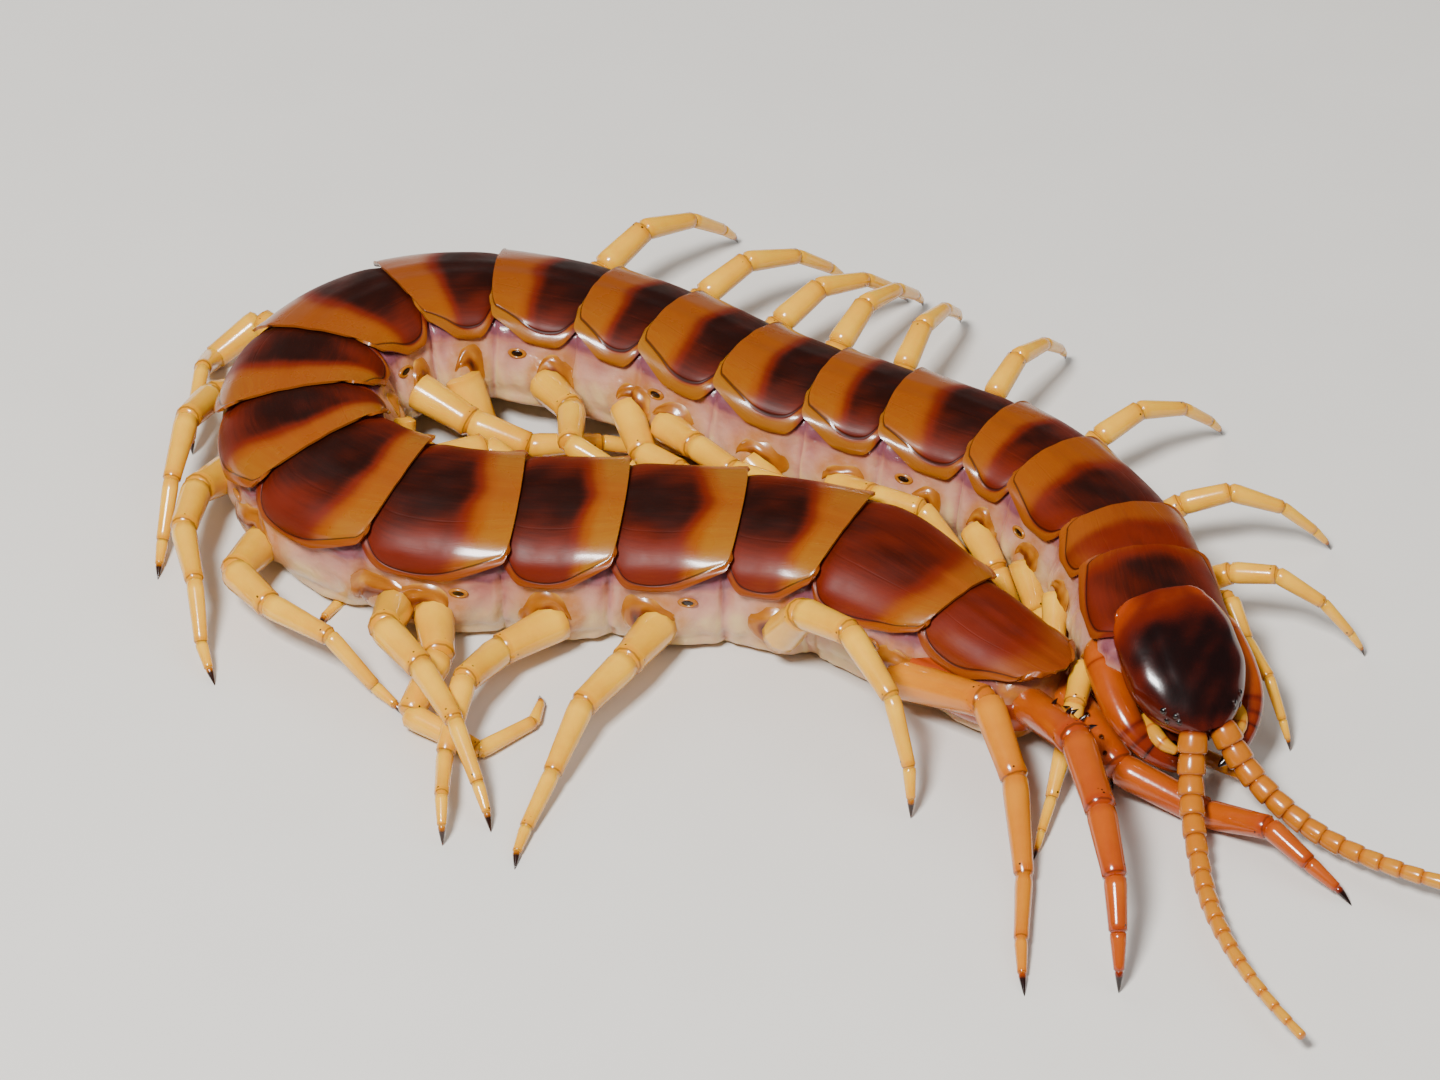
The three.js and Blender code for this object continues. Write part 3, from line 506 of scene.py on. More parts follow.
def turned(name, profile, sides, sweep=0.0):
    """A turned form along +Z, one unit long and one unit thick, from pairs of height and radius.
    Sweep bends it towards -Y, as a share of its length."""
    deselect_all()
    height, radius = profile[0]
    bpy.ops.mesh.primitive_circle_add(vertices=sides, radius=radius, fill_type="NGON",
                                      location=(0, 0, height))
    bpy.ops.object.transform_apply(location=True)
    piece = name_piece(bpy.context.object, name)
    bpy.ops.object.mode_set(mode="EDIT")
    bpy.ops.mesh.select_all(action="SELECT")
    for next_height, next_radius in profile[1:]:
        drop = -sweep * (next_height ** 2 - height ** 2)
        bpy.ops.mesh.extrude_region_move(TRANSFORM_OT_translate={"value": (0, drop, next_height - height)})
        share = next_radius / radius
        bpy.ops.transform.resize(value=(share, share, 1))
        height, radius = next_height, next_radius
    return turn_outwards(piece)


def article_copy(master, start, end, thick, taper=1.0, flare=0.0):
    """A copy of a turned form, stretched from start to end. Taper is the share of the thickness that
    its far end has, and flare widens its near end."""
    start = Vector(start)
    axis = Vector(end) - start
    length = axis.length
    axis.normalize()
    side = Vector((0, 0, 1)).cross(axis)
    if side.length < 1e-3:
        side = Vector((1, 0, 0)).cross(axis)
    side.normalize()
    upward = axis.cross(side)
    turn = Matrix((side * thick, upward * thick, axis * length)).transposed().to_4x4()
    copy = master.copy()
    copy.data = master.data.copy()
    bpy.context.scene.collection.objects.link(copy)
    points = read_points(copy.data)
    share = np.clip(points[:, 2], 0, 1)
    points[:, :2] *= (1 + (taper - 1) * share + flare * (1 - step_up(points[:, 2], -0.1, 0.4)))[:, None]
    write_points(copy.data, points)
    copy.data.transform(Matrix.Scale(MM, 4) @ Matrix.Translation(start) @ turn)
    return copy


def discard(*pieces):
    for piece in pieces:
        mesh = piece.data
        bpy.data.objects.remove(piece)
        bpy.data.meshes.remove(mesh)


def turn_to(direction):
    """The turn that points +Z in a direction."""
    return Vector(direction / np.linalg.norm(direction)).to_track_quat("Z", "Y").to_matrix().to_4x4()


def small_form(name, radius, wall, rounds, shape, turn, centre, tone):
    """A bead, or a ring if a wall is given, stretched by shape, then turned and moved."""
    deselect_all()
    if wall:
        bpy.ops.mesh.primitive_torus_add(major_segments=24, minor_segments=8, major_radius=radius * MM,
                                         minor_radius=wall * MM)
    else:
        bpy.ops.mesh.primitive_uv_sphere_add(segments=rounds[0], ring_count=rounds[1], radius=radius * MM)
    form = name_piece(bpy.context.object, name)
    form.data.transform(Matrix.Translation(Vector(centre * MM)) @ turn @ Matrix.Diagonal((*shape, 1)))
    write_tone(form.data, tone)
    return form


def tube(name, centres, radii, grid, tone, flat=1.0):
    """A closed tube along a smooth line, rounded at both ends. Flat squeezes it from above."""
    line = smooth_line(centres)
    bends = smooth_line([(i, r) for i, r in enumerate(radii)])

    def place(s, t):
        middle = along(line, t)
        ahead = along(line, np.minimum(t + 0.01, 1)) - along(line, np.maximum(t - 0.01, 0))
        ahead /= np.linalg.norm(ahead, axis=1)[:, None]
        side = np.cross(ahead, [0, 0, 1.0])
        side /= np.maximum(np.linalg.norm(side, axis=1), 1e-6)[:, None]
        upward = np.cross(side, ahead)
        radius = np.interp(t * (len(radii) - 1), bends[:, 0], bends[:, 1])
        end = np.minimum(t, 1 - t)
        radius = radius * np.sqrt(np.clip(1 - (1 - np.clip(end / 0.06, 0, 1)) ** 2, 0, 1))
        angle = 2 * math.pi * s
        return (middle + side * (radius * np.cos(angle))[:, None]
                + upward * (flat * radius * np.sin(angle))[:, None])

    return close_up(sheet(name, grid, place, tone=tone))


# Finishes

JOINT_PLACE = 0.972
SPECK_PLACE = 0.9
EDGE_LINE = 1.12
LINE_COLOR = "240a04"
SPECK_COLOR = "2c1206"
FLOOR_GRAIN = "dedad3"
SHADES = ("Dark", "Deep", "Warm", "Pale")
# Sockets of a node that mixes two colours
MIX_SHARE, MIX_FIRST, MIX_SECOND, MIX_RESULT = 0, 6, 7, 2
# Colours of each plain shell from dark to pale, mottling, scale of the mottling, roughness, coat, and how
# much light goes through it. Colours that are left out here are settings.
SHELLS = {
    "Belly plate shell": (("4a2410", "a86a30", "d9b070", "ecd9ac"), 0.3, 500.0, 0.25, 0.4, 0.2),
    "Side shield shell": (("160805", "6c2e06", "9c5a10", "c88f3a"), 0.3, 700.0, 0.24, 0.4, 0.2),
    "Tail lobe shell": (("160402", "701c04", "a6400e", "c06a20"), 0.25, 420.0, 0.26, 0.4, 0.2),
    "Leg shell": (None, 0.22, 520.0, 0.24, 0.5, 0.3),
    "Hind leg shell": (("1c0704", "8a3404", "b8620a", "cf8212"), 0.22, 520.0, 0.2, 0.5, 0.2),
    "Trailing leg shell": (("160402", "6a1a02", "96360a", "b0520c"), 0.22, 520.0, 0.2, 0.5, 0.15),
    "Head shell": (None, 0.2, 420.0, 0.24, 0.3, 0.05),
    "Eye shell": (("050303", "2a0a05", "7a2a10", "a04a20"), 0.1, 900.0, 0.06, 1.0, 0.0),
    "Amber shell": (("0c0302", "6e1c02", "a84806", "c87a14"), 0.18, 480.0, 0.2, 0.4, 0.12),
    "Antenna shell": (("200a03", "7c3004", "b4660a", "c88c1c"), 0.2, 700.0, 0.24, 0.4, 0.12),
}


def color(hex_code):
    """A colour from its usual web notation, as linear values."""
    parts = [int(hex_code[i:i + 2], 16) / 255 for i in (0, 2, 4)]
    return tuple(c / 12.92 if c <= 0.04045 else ((c + 0.055) / 1.055) ** 2.4 for c in parts) + (1.0,)


class Tree:
    """The nodes of a material or a group. What is fed to a node is another node's socket or a constant."""

    def __init__(self, tree):
        self.nodes, self.links = tree.nodes, tree.links

    def feed(self, target, value):
        if hasattr(value, "links"):
            self.links.new(value, target)
        else:
            target.default_value = value

    def add(self, kind, inputs, output, **settings):
        node = self.nodes.new(f"ShaderNode{kind}")
        for name, value in settings.items():
            setattr(node, name, value)
        for name, value in inputs.items():
            self.feed(node.inputs[name], value)
        return node.outputs[output]

    def math(self, operation, *values, clamp=False):
        return self.add("Math", dict(enumerate(values)), 0, operation=operation, use_clamp=clamp)

    def apart(self, first, second):
        return self.math("ABSOLUTE", self.math("SUBTRACT", first, second))

    def spread(self, value, low, high, to_low=0.0, to_high=1.0):
        """Smooth step from to_low, where the value is low, to to_high."""
        inputs = {"Value": value, "From Min": low, "From Max": high, "To Min": to_low, "To Max": to_high}
        return self.add("MapRange", inputs, "Result", interpolation_type="SMOOTHSTEP")

    def mix(self, share, first, second):
        return self.add("Mix", {MIX_SHARE: share, MIX_FIRST: first, MIX_SECOND: second}, MIX_RESULT,
                        data_type="RGBA")

    def noise(self, vector, scale, detail=3.0, roughness=0.55):
        inputs = {"Vector": vector, "Scale": scale, "Detail": detail, "Roughness": roughness}
        return self.add("TexNoise", inputs, "Fac")

    def attribute(self, name):
        return self.add("Attribute", {}, "Fac", attribute_name=name)

    def surface(self, source, scale=(1, 1, 1)):
        """Object coordinates, or the piece's own UV map, stretched by scale."""
        return self.add("Mapping", {"Vector": self.add("TexCoord", {}, source), "Scale": scale}, "Vector")

    def bump(self, height, strength, distance, *before):
        """A normal tilted by a height, on top of the normal before it. The distance is in millimetres."""
        inputs = {"Height": height, "Strength": strength, "Distance": distance * MM}
        inputs.update(("Normal", normal) for normal in before)
        return self.add("Bump", inputs, "Normal")

    def toned(self, vector, colors, mottling, scale, tone):
        """The four colours of a shell, from dark to pale by tone."""
        inputs = {"Vector": vector, "Tone": tone, "Mottling": mottling, "Scale": scale}
        inputs.update((shade, color(code)) for shade, code in zip(SHADES, colors))
        return self.add("Group", inputs, "Color", node_tree=toned_shell_group())

    def wrinkles(self, vector, scale, fine):
        inputs = {"Vector": vector, "Scale": scale, "Fine": fine}
        return self.add("Group", inputs, "Height", node_tree=wrinkle_group())


def node_group(name, inputs, output, kind, lay_out):
    """A group with sockets from name to kind and one output, made only once and filled by lay_out."""
    if name in bpy.data.node_groups:
        return bpy.data.node_groups[name]
    group = bpy.data.node_groups.new(name, "ShaderNodeTree")
    for label, socket in inputs:
        group.interface.new_socket(name=label, in_out="INPUT", socket_type=socket)
    group.interface.new_socket(name=output, in_out="OUTPUT", socket_type=kind)
    tree = Tree(group)
    given = tree.nodes.new("NodeGroupInput").outputs
    tree.feed(tree.nodes.new("NodeGroupOutput").inputs[output], lay_out(tree, given))
    return group


def toned_shell_group():
    """Four colours from dark to pale by tone, mottled unevenly."""
    def lay_out(tree, given):
        cloud = tree.noise(given["Vector"], given["Scale"], 5.0, 0.6)
        uneven = tree.math("MULTIPLY", tree.math("SUBTRACT", cloud, 0.5), given["Mottling"])
        tone = tree.math("ADD", given["Tone"], uneven, clamp=True)
        mixed = tree.mix(tree.spread(tone, 0.0, 0.34), given["Dark"], given["Deep"])
        mixed = tree.mix(tree.spread(tone, 0.3, 0.68), mixed, given["Warm"])
        return tree.mix(tree.spread(tone, 0.64, 1.0), mixed, given["Pale"])

    inputs = [(name, "NodeSocketFloat") for name in ("Tone", "Mottling", "Scale")]
    inputs += [("Vector", "NodeSocketVector")] + [(shade, "NodeSocketColor") for shade in SHADES]
    return node_group("Toned shell", inputs, "Color", "NodeSocketColor", lay_out)


def wrinkle_group():
    """Height of fine wrinkles and pores, from two sizes of noise."""
    def lay_out(tree, given):
        coarse = tree.noise(given["Vector"], given["Scale"], 3.0, 0.5)
        fine = tree.noise(given["Vector"], tree.math("MULTIPLY", given["Scale"], 4.3), 2.0, 0.5)
        return tree.math("ADD", coarse, tree.math("MULTIPLY", fine, given["Fine"]))

    inputs = (("Vector", "NodeSocketVector"), ("Scale", "NodeSocketFloat"), ("Fine", "NodeSocketFloat"))
    return node_group("Wrinkles", inputs, "Height", "NodeSocketFloat", lay_out)


def start_material(name):
    """A new material with its tree of nodes and the inputs of its shader."""
    material = bpy.data.materials.new(name)
    material.use_nodes = True
    tree = Tree(material.node_tree)
    tree.nodes.clear()
    shader = tree.nodes.new("ShaderNodeBsdfPrincipled")
    tree.feed(tree.nodes.new("ShaderNodeOutputMaterial").inputs["Surface"], shader.outputs["BSDF"])
    return material, tree, shader.inputs


def glossy(inputs, roughness, coat, coat_roughness, flesh=0.0, depth=0.6, sheen=0.4):
    inputs["Specular IOR Level"].default_value = sheen
    inputs["Roughness"].default_value = roughness
    inputs["Coat Weight"].default_value = coat
    inputs["Coat Roughness"].default_value = coat_roughness
    inputs["Subsurface Weight"].default_value = flesh
    inputs["Subsurface Radius"].default_value = (1.0, 0.45, 0.25)
    inputs["Subsurface Scale"].default_value = depth * MM


def back_plate_material(settings):
    """Dark glossy shell with fine lengthwise streaks, a line inside the rim and two faint sutures."""
    material, tree, inputs = start_material("Back plate shell")
    tone = tree.attribute("tone")
    colors = (settings.dark, settings.deep, settings.warm, settings.pale)
    shell = tree.toned(tree.surface("UV", (34, 1.6, 1)), colors, 0.16, 1.8, tone)
    line = tree.spread(tree.apart(tree.attribute("inside"), EDGE_LINE), 0.05, 0.17, 1.0, 0.0)
    tree.feed(inputs["Base Color"], tree.mix(tree.math("MULTIPLY", line, 0.75), shell, color(LINE_COLOR)))
    glossy(inputs, 0.26, 0.15, 0.12, flesh=0.1, depth=0.5, sheen=0.22)
    tree.feed(inputs["Coat Weight"], tree.spread(tone, 0.35, 0.8, 0.0, 0.55))
    body = tree.surface("Object")
    uneven = tree.spread(tree.noise(body, 330, 4), 0.3, 0.75, 0.85, 1.25)
    dulled = tree.math("MULTIPLY", tree.spread(tone, 0.15, 0.75, 0.5, 0.28), uneven)
    tree.feed(inputs["Roughness"], dulled)
    across = tree.add("SeparateXYZ", {0: tree.surface("UV")}, "X")
    off_suture = tree.apart(tree.apart(across, 0.5), settings.suture)
    normal = tree.bump(tree.spread(off_suture, 0.0, 0.006), 0.25, 0.04)
    normal = tree.bump(tree.math("SUBTRACT", 1.0, line), 0.6, 0.06, normal)
    normal = tree.bump(tree.wrinkles(tree.surface("UV", (60, 3, 1)), 2.4, 0.4), 0.16, 0.05, normal)
    tree.feed(inputs["Normal"], tree.bump(tree.wrinkles(body, 330.0, 0.2), 0.16, 0.12, normal))
    return material


def flesh_material(settings):
    """Moist soft skin: cream to pink, finely wrinkled, with painted shade that darkens it to lilac in the
    folds, at the creases between segments and under the back plates.
    """
    material, tree, inputs = start_material("Flank skin")
    body = tree.surface("Object")
    colors = (settings.lilac, settings.pink, settings.rose, settings.cream)
    shell = tree.toned(body, colors, 0.5, 420.0, tree.attribute("tone"))
    patches = tree.spread(tree.noise(body, 900, 4), 0.25, 0.7, 0.35, 1.0)
    cloudy = tree.math("MULTIPLY", tree.attribute("amber"), patches, clamp=True)
    tree.feed(inputs["Base Color"], tree.mix(cloudy, shell, color(settings.amber)))
    glossy(inputs, 0.28, 0.3, 0.14, flesh=0.35, depth=0.9)
    folded = tree.bump(tree.wrinkles(body, 700.0, 0.5), 0.5, 0.16)
    tree.feed(inputs["Normal"], tree.bump(tree.noise(body, 3600, 2), 0.16, 0.03, folded))
    return material


def plain_shell_material(name, colors=None, jointed=False):
    """Smooth shell of a limb, a plate or a claw, with soft mottling and fine dents. A jointed one has a dark
    line and a cluster of tiny specks near the far end of every article."""
    fixed_colors, mottling, scale, roughness, coat, flesh = SHELLS[name]
    material, tree, inputs = start_material(name)
    body = tree.surface("Object")
    tone = tree.attribute("tone")
    if jointed:
        place = tree.attribute("place")
        from_joint = tree.apart(place, JOINT_PLACE)
        shaded = tree.math("SUBTRACT", tone, tree.spread(from_joint, 0.0, 0.1, 0.16, 0.0))
        tone = tree.math("SUBTRACT", shaded, tree.spread(place, 0.02, 0.16, 0.1, 0.0), clamp=True)
    shown = tree.toned(body, fixed_colors or colors, mottling, scale, tone)
    if jointed:
        cells = tree.add("TexVoronoi", {"Vector": body, "Scale": 2100}, "Distance")
        near_end = tree.spread(tree.apart(place, SPECK_PLACE), 0.03, 0.07, 1.0, 0.0)
        specks = tree.math("MULTIPLY", tree.spread(cells, 0.12, 0.2, 1.0, 0.0), near_end)
        marked = tree.math("MAXIMUM", tree.spread(from_joint, 0.004, 0.014, 0.5, 0.0), specks)
        shown = tree.mix(marked, shown, color(SPECK_COLOR))
    tree.feed(inputs["Base Color"], shown)
    glossy(inputs, roughness, coat, 0.08, flesh=flesh)
    tree.feed(inputs["Normal"], tree.bump(tree.wrinkles(body, 620.0, 0.35), 0.22, 0.07))
    return material


# Settings that a user would change

class CentipedeShellSettings(bpy.types.PropertyGroup):
    dark: StringProperty(name="Dark", description="Middle of the back plates", default="200601")
    deep: StringProperty(name="Deep", description="Sides of the back plates", default="661802")
    warm: StringProperty(name="Warm", description="Rims and start of the amber bands", default="884206")
    pale: StringProperty(name="Pale", description="Rear edges of the back plates", default="9a6a16")
    thickness: FloatProperty(name="Thickness", description="Thickness of a back plate in millimetres",
                             default=0.2, min=0.05, max=0.6)
    rim_height: FloatProperty(name="Rim height", description="Height of the raised side rim in millimetres",
                              default=0.07, min=0, max=0.5)
    lip: FloatProperty(name="Lip",
                       description="How far a plate overlaps the next, as a share of its length",
                       default=0.055, min=0, max=0.15)
    suture: FloatProperty(name="Suture", description="Place of the two lengthwise sutures, from the middle",
                          default=0.17, min=0.05, max=0.4)


class CentipedeFleshSettings(bpy.types.PropertyGroup):
    # Lilac and pink also carry the painted shade in the folds, at the creases between segments and under the
    # back plates
    lilac: StringProperty(name="Lilac", description="Deepest folds", default="7c4650")
    pink: StringProperty(name="Pink", description="Skin in the folds", default="ab6c62")
    rose: StringProperty(name="Rose", description="Skin near the rims", default="c39178")
    cream: StringProperty(name="Cream", description="Swollen parts of the side", default="cdaf7c")
    amber: StringProperty(name="Amber", description="Skin round the legs and along the lower edge",
                          default="a8661c")
    fold_depth: FloatProperty(name="Fold depth", description="Depth of the upright folds in millimetres",
                              default=0.19, min=0, max=0.5)
    mound: FloatProperty(name="Mound", description="Swelling round the base of a leg in millimetres",
                         default=0.75, min=0, max=1.5)


class CentipedeLegSettings(bpy.types.PropertyGroup):
    mark: StringProperty(name="Mark", description="Dark marks at the joints", default="240c03")
    amber: StringProperty(name="Amber", description="Ends of the articles", default="a05a06")
    yellow: StringProperty(name="Yellow", description="Main colour", default="d08a0c")
    cream: StringProperty(name="Cream", description="Palest parts", default="f0b62c")
    sides: IntProperty(name="Sides", description="Faces round an article", default=12, min=6, max=32)


class CentipedeHeadSettings(bpy.types.PropertyGroup):
    dark: StringProperty(name="Dark", description="Middle of the head plate", default="120201")
    deep: StringProperty(name="Deep", description="Sides of the head plate", default="5a1202")
    warm: StringProperty(name="Warm", description="Edges of the head plate", default="983602")
    pale: StringProperty(name="Pale", description="Palest edges", default="c4701a")
    eye: FloatProperty(name="Eye", description="Radius of the largest simple eye in millimetres",
                       default=0.26, min=0.1, max=0.8)


class CentipedeStageSettings(bpy.types.PropertyGroup):
    floor: StringProperty(name="Floor", description="Colour of the floor", default="d8d4cd")
    key: FloatProperty(name="Key light", description="Power of the main soft light", default=3.3, min=0,
                       unit="POWER")
    fill: FloatProperty(name="Fill light", description="Power of the fill light", default=0.8, min=0,
                        unit="POWER")
    sky: FloatProperty(name="Sky", description="Strength of the even light from all round", default=0.13,
                       min=0)
    elevation: FloatProperty(name="Camera elevation", description="Angle of the view above the ground",
                             default=math.radians(40), subtype="ANGLE")
    field: FloatProperty(name="Camera field", description="Horizontal angle of view",
                         default=math.radians(18), subtype="ANGLE")
    distance: FloatProperty(name="Camera distance", description="Distance to the object in metres",
                            default=0.303, unit="LENGTH")


# Trunk

def segment_share(station):
    """Share of its segment that lies ahead of a station, and the index of the segment."""
    index = np.clip(np.searchsorted(PLATE_STARTS, station, side="right") - 1, 0, SEGMENTS - 1)
    return (station - np.array(PLATE_STARTS)[index]) / np.array(PLATE_LENGTHS)[index], index


def flesh_swell(station):
    """Share of the half width that the side of the body has at a station."""
    return glide(SKIN_SWELL, np.clip(segment_share(np.asarray(station, float))[0], 0, 1))


def leg_pose(number, side):
    """Shift, bearings and pitches of a leg: from the table, or in the wave of a stride."""
    bearing = STRIDE_BEARING + STRIDE_SWING * math.sin(2 * math.pi * number / STRIDE_WAVE)
    stride = (0, [bearing + turn for turn in STRIDE_TURNS], STRIDE_PITCHES)
    return LEG_POSES.get(f"{side}_{number:02d}", stride)


def leg_station(number, side):
    return PLATE_STARTS[number - 1] + LEG_ALONG * PLATE_LENGTHS[number - 1] + leg_pose(number, side)[0]


def leg_size(number):
    return float(between(LEG_SCALE, number))


def leg_bases(side):
    """Number, station, height and stoutness of the base of every walking leg of a side."""
    for number in range(1, SEGMENTS):
        station = leg_station(number, side)
        height = LEG_HEIGHT * float(between(HEIGHT, station))
        yield number, station, height, min(leg_size(number), STOUTEST)


def near_legs(station, side_sign, closeness):
    """The greatest closeness of points to a leg's base on their own side of the body."""
    nearest = np.zeros_like(station)
    for side in SIDES:
        on_side = side_sign * SIGN[side] > 0
        for _, centre, height, stout in leg_bases(side):
            nearest = np.maximum(nearest, np.where(on_side, closeness(centre, height, stout), 0))
    return nearest


def mound_height(station, upwards, side_sign, height):
    """Swelling of the soft side round the bases of the legs on both sides."""
    def closeness(centre, base, stout):
        away = ((station - centre) / (1.75 * stout)) ** 2 + ((upwards - base) / (1.6 * stout)) ** 2
        return height * stout * np.exp(-away)

    return near_legs(station, side_sign, closeness)


def leg_halo(station, upwards, side_sign):
    """How close a point of the side is to the ring round the base of a leg, from 0 to 1."""
    def closeness(centre, base, stout):
        away = np.sqrt((station - centre + 0.5) ** 2 + (upwards - base - 0.5) ** 2)
        return 1 - step_up(away, 1.7 * stout, 3.0 * stout)

    return near_legs(station, side_sign, closeness)


def flank_point(station, upwards, sign, proud, mound):
    """Point on the soft side of the body at a height, standing proud of it."""
    station = np.asarray(station, float)
    share = np.interp(upwards / between(HEIGHT, station), *FLANK_SHARE)
    across = between(WIDTH, station) / 2 * share * flesh_swell(station)
    across = across + mound_height(station, upwards, np.full_like(station, sign), mound) + proud
    return on_body(station, sign * across, upwards)


def model_flesh(settings):
    """One soft skin from the neck to the tail, folded at every joint and swollen at the legs."""
    def parts(s, t):
        station = FLESH_START + (FLESH_END - FLESH_START) * t
        across_share, rise = along(SKIN_LINE, s).T
        share, index = segment_share(station)
        wander = 0.4 * ripple(rise * 5, index * 1.3) + 0.12 * ripple(rise * 15, station * 0.4)
        near_joint = bell(share, 0, 0.2) + 0.8 * bell(share, 1, 0.22)
        upright = np.sin((station + wander) * 3.9) * (0.2 + near_joint)
        fold = upright + 0.35 * np.sin((station * 1.3 + rise * 9 + wander * 2) * 1.3)
        return station, across_share, rise, between(HEIGHT, station), share, fold

    def place(s, t):
        station, across_share, rise, tall, share, fold = parts(s, t)
        off_belly = step_up(rise, 0.02, 0.1)
        across = between(WIDTH, station) / 2 * across_share * (1 + (flesh_swell(station) - 1) * off_belly)
        upwards = tall * rise
        bulge = mound_height(station, upwards, np.sign(across_share), settings.mound)
        relief = settings.fold_depth * fold * off_belly * (1 - step_up(rise, 0.62, 0.7)) * 0.5
        relief = relief + 0.06 * ripple(station * 1.4, rise * 12, 0.6) * off_belly
        arch = np.sin(math.pi * np.clip(share, 0, 1) ** 1.3).clip(0) ** 0.7
        lobe = 0.55 * arch * bell(rise, 0.08, 0.06) - 0.15 * (rise < 0.2)
        outward = np.sign(across_share) * (bulge + relief + lobe)
        across = across + outward * np.minimum(1, np.abs(across_share) * 1.2)
        past_end = ((station - (BODY_LENGTH - 0.9)) / 2.1).clip(0, 1)
        closing = step_up(station, FLESH_START, FLESH_START + 1.7) * np.sqrt(np.clip(1 - past_end ** 2, 0, 1))
        middle = 0.45 * tall
        return on_body(station, across * closing, middle + (upwards - middle) * closing)

    def tone(s, t):
        station, _, rise, _, share, fold = parts(s, t)
        upper = step_up(rise, 0.3, 0.58)
        value = 0.9 - 0.3 * upper - 0.16 * upper * step_up(share, 0.35, 0.9)
        # Painted shade: darker at the crease at the front of each segment, in the troughs of the folds and
        # under the back plates; a paler band just before each crease
        value = value - 0.3 * bell(share, 0, 0.045) * step_up(rise, 0.03, 0.15)
        value = value + 0.16 * bell(share, 0.965, 0.02)
        value = value - 0.05 * (1 - fold) * step_up(rise, 0.1, 0.3)
        value = value - 0.5 * step_up(rise, 0.6, 0.68)
        value = value + 0.07 * ripple(station * 1.1, rise * 7, 1.9)
        return np.clip(value, 0.02, 1)

    def amber(s, t):
        station, across_share, rise, tall, share, _ = parts(s, t)
        halo = leg_halo(station, tall * rise, np.sign(across_share))
        edge = bell(rise, 0.045, 0.025) * np.sin(math.pi * np.clip(share, 0, 1)).clip(0) ** 0.5
        behind = step_up(station, BODY_LENGTH - 2.5, BODY_LENGTH - 0.5)
        return np.clip(0.85 * halo + 0.6 * edge + behind, 0, 1)

    return smooth(close_up(sheet("flesh", FLESH_GRID, place, tone=tone, amber=amber)), 80)


def plate_grid(index, s, t, lip):
    """Place across a back plate, place along it, share of the section that it covers there, and the
    distance from its edge in millimetres."""
    x = 1 - 2 * s
    across_share = x * (1.36 - 0.36 * x * x)
    share = -0.04 + (1.04 + lip) * (t + 0.07 * np.sin(2 * math.pi * t) / math.pi * -1.0)
    length = PLATE_LENGTHS[index]
    last = index == SEGMENTS - 1
    half_line = between(WIDTH, PLATE_STARTS[index] + length / 2) / 2 * 1.3
    corner = TAIL_CORNER if last else REAR_CORNER

    def reach_at(place):
        reach = glide(PLATE_REACH, place)
        if last:
            reach = reach * (1 - 0.12 * step_up(place, 0.4, 1.02))
        to_rear = np.maximum((1 + lip - place) * length, 0)
        missing = np.clip(corner - to_rear, 0, corner)
        return reach - (corner - np.sqrt(np.maximum(corner ** 2 - missing ** 2, 0))) / half_line

    reach = reach_at(share)
    slope = (reach_at(share + 0.005) - reach_at(share - 0.005)) / 0.01 * half_line / length
    inside = reach * (1 - np.abs(across_share)) * half_line / np.sqrt(1 + slope ** 2)
    return across_share, share, reach, inside


def model_back_plate(index, settings):
    start, length = PLATE_STARTS[index], PLATE_LENGTHS[index]
    middle_tone, side_tone, band_start, band_tone, rim_tone, rim_width = PLATE_TONES[index]
    seed = index * 1.37
    bow = 1.5 if index == SEGMENTS - 1 else 0.3

    def place(s, t):
        across_share, share, reach, inside = plate_grid(index, s, t, settings.lip)
        station = start + share * length
        tall = between(HEIGHT, station)
        section = along(PLATE_LINE, (across_share * reach + 1) / 2)
        swell = glide(PLATE_SWELL, share)
        relief = settings.rim_height * (1 - step_up(inside, rim_width * 0.3, rim_width * 1.05))
        relief = relief - 0.04 * bell(inside, rim_width * 1.15, 0.14)
        relief = relief + 0.035 * ripple(section[:, 0] * 3 + index, share * 3, seed)
        relief = relief - 0.06 * (1 - step_up(share, 0.0, 0.16)) * step_up(inside, 0.2, 0.8)
        relief = relief + 0.05 * bell(np.abs(section[:, 0]), 0.16, 0.1)
        across = between(WIDTH, station) / 2 * section[:, 0] * swell
        upwards = tall * section[:, 1] * (1 + 0.5 * (swell - 1))
        reach_out = np.stack([across, upwards - tall * 0.5], axis=1)
        reach_out = reach_out * (1 + relief / np.maximum(np.linalg.norm(reach_out, axis=1), 1))[:, None]
        station = station + bow * (1 - across_share ** 2) * step_up(share, 0.6, 1.06)
        return on_body(station, reach_out[:, 0], reach_out[:, 1] + tall * 0.5)

    def tone(s, t):
        across_share, share, reach, inside = plate_grid(index, s, t, settings.lip)
        aside = np.abs(across_share * reach)
        wander = 0.03 * ripple(across_share * 3, share * 2, seed)
        value = middle_tone + (side_tone - middle_tone) * step_up(aside + wander, 0.1, 0.85)
        value = value + 0.05 * ripple(across_share * 4, share * 5, seed + 0.6)
        band = step_up(share + wander + 0.12 * aside, band_start, band_start + 0.28)
        value = value + (band_tone * (0.8 + 0.2 * aside) - value) * band
        rim = (1 - step_up(inside, rim_width * 0.8, rim_width * 1.05)) * step_up(share, 0.02, 0.12)
        value = value + (rim_tone + 0.05 * share - value) * rim
        return np.clip(value, 0.0, 1)

    def inside_edge(s, t):
        return plate_grid(index, s, t, settings.lip)[3] / rim_width

    plate = sheet(f"back_plate_{index + 1:02d}", BACK_PLATE_GRID, place, tone=tone, inside=inside_edge)
    return smooth(thicken(plate, settings.thickness), 55)


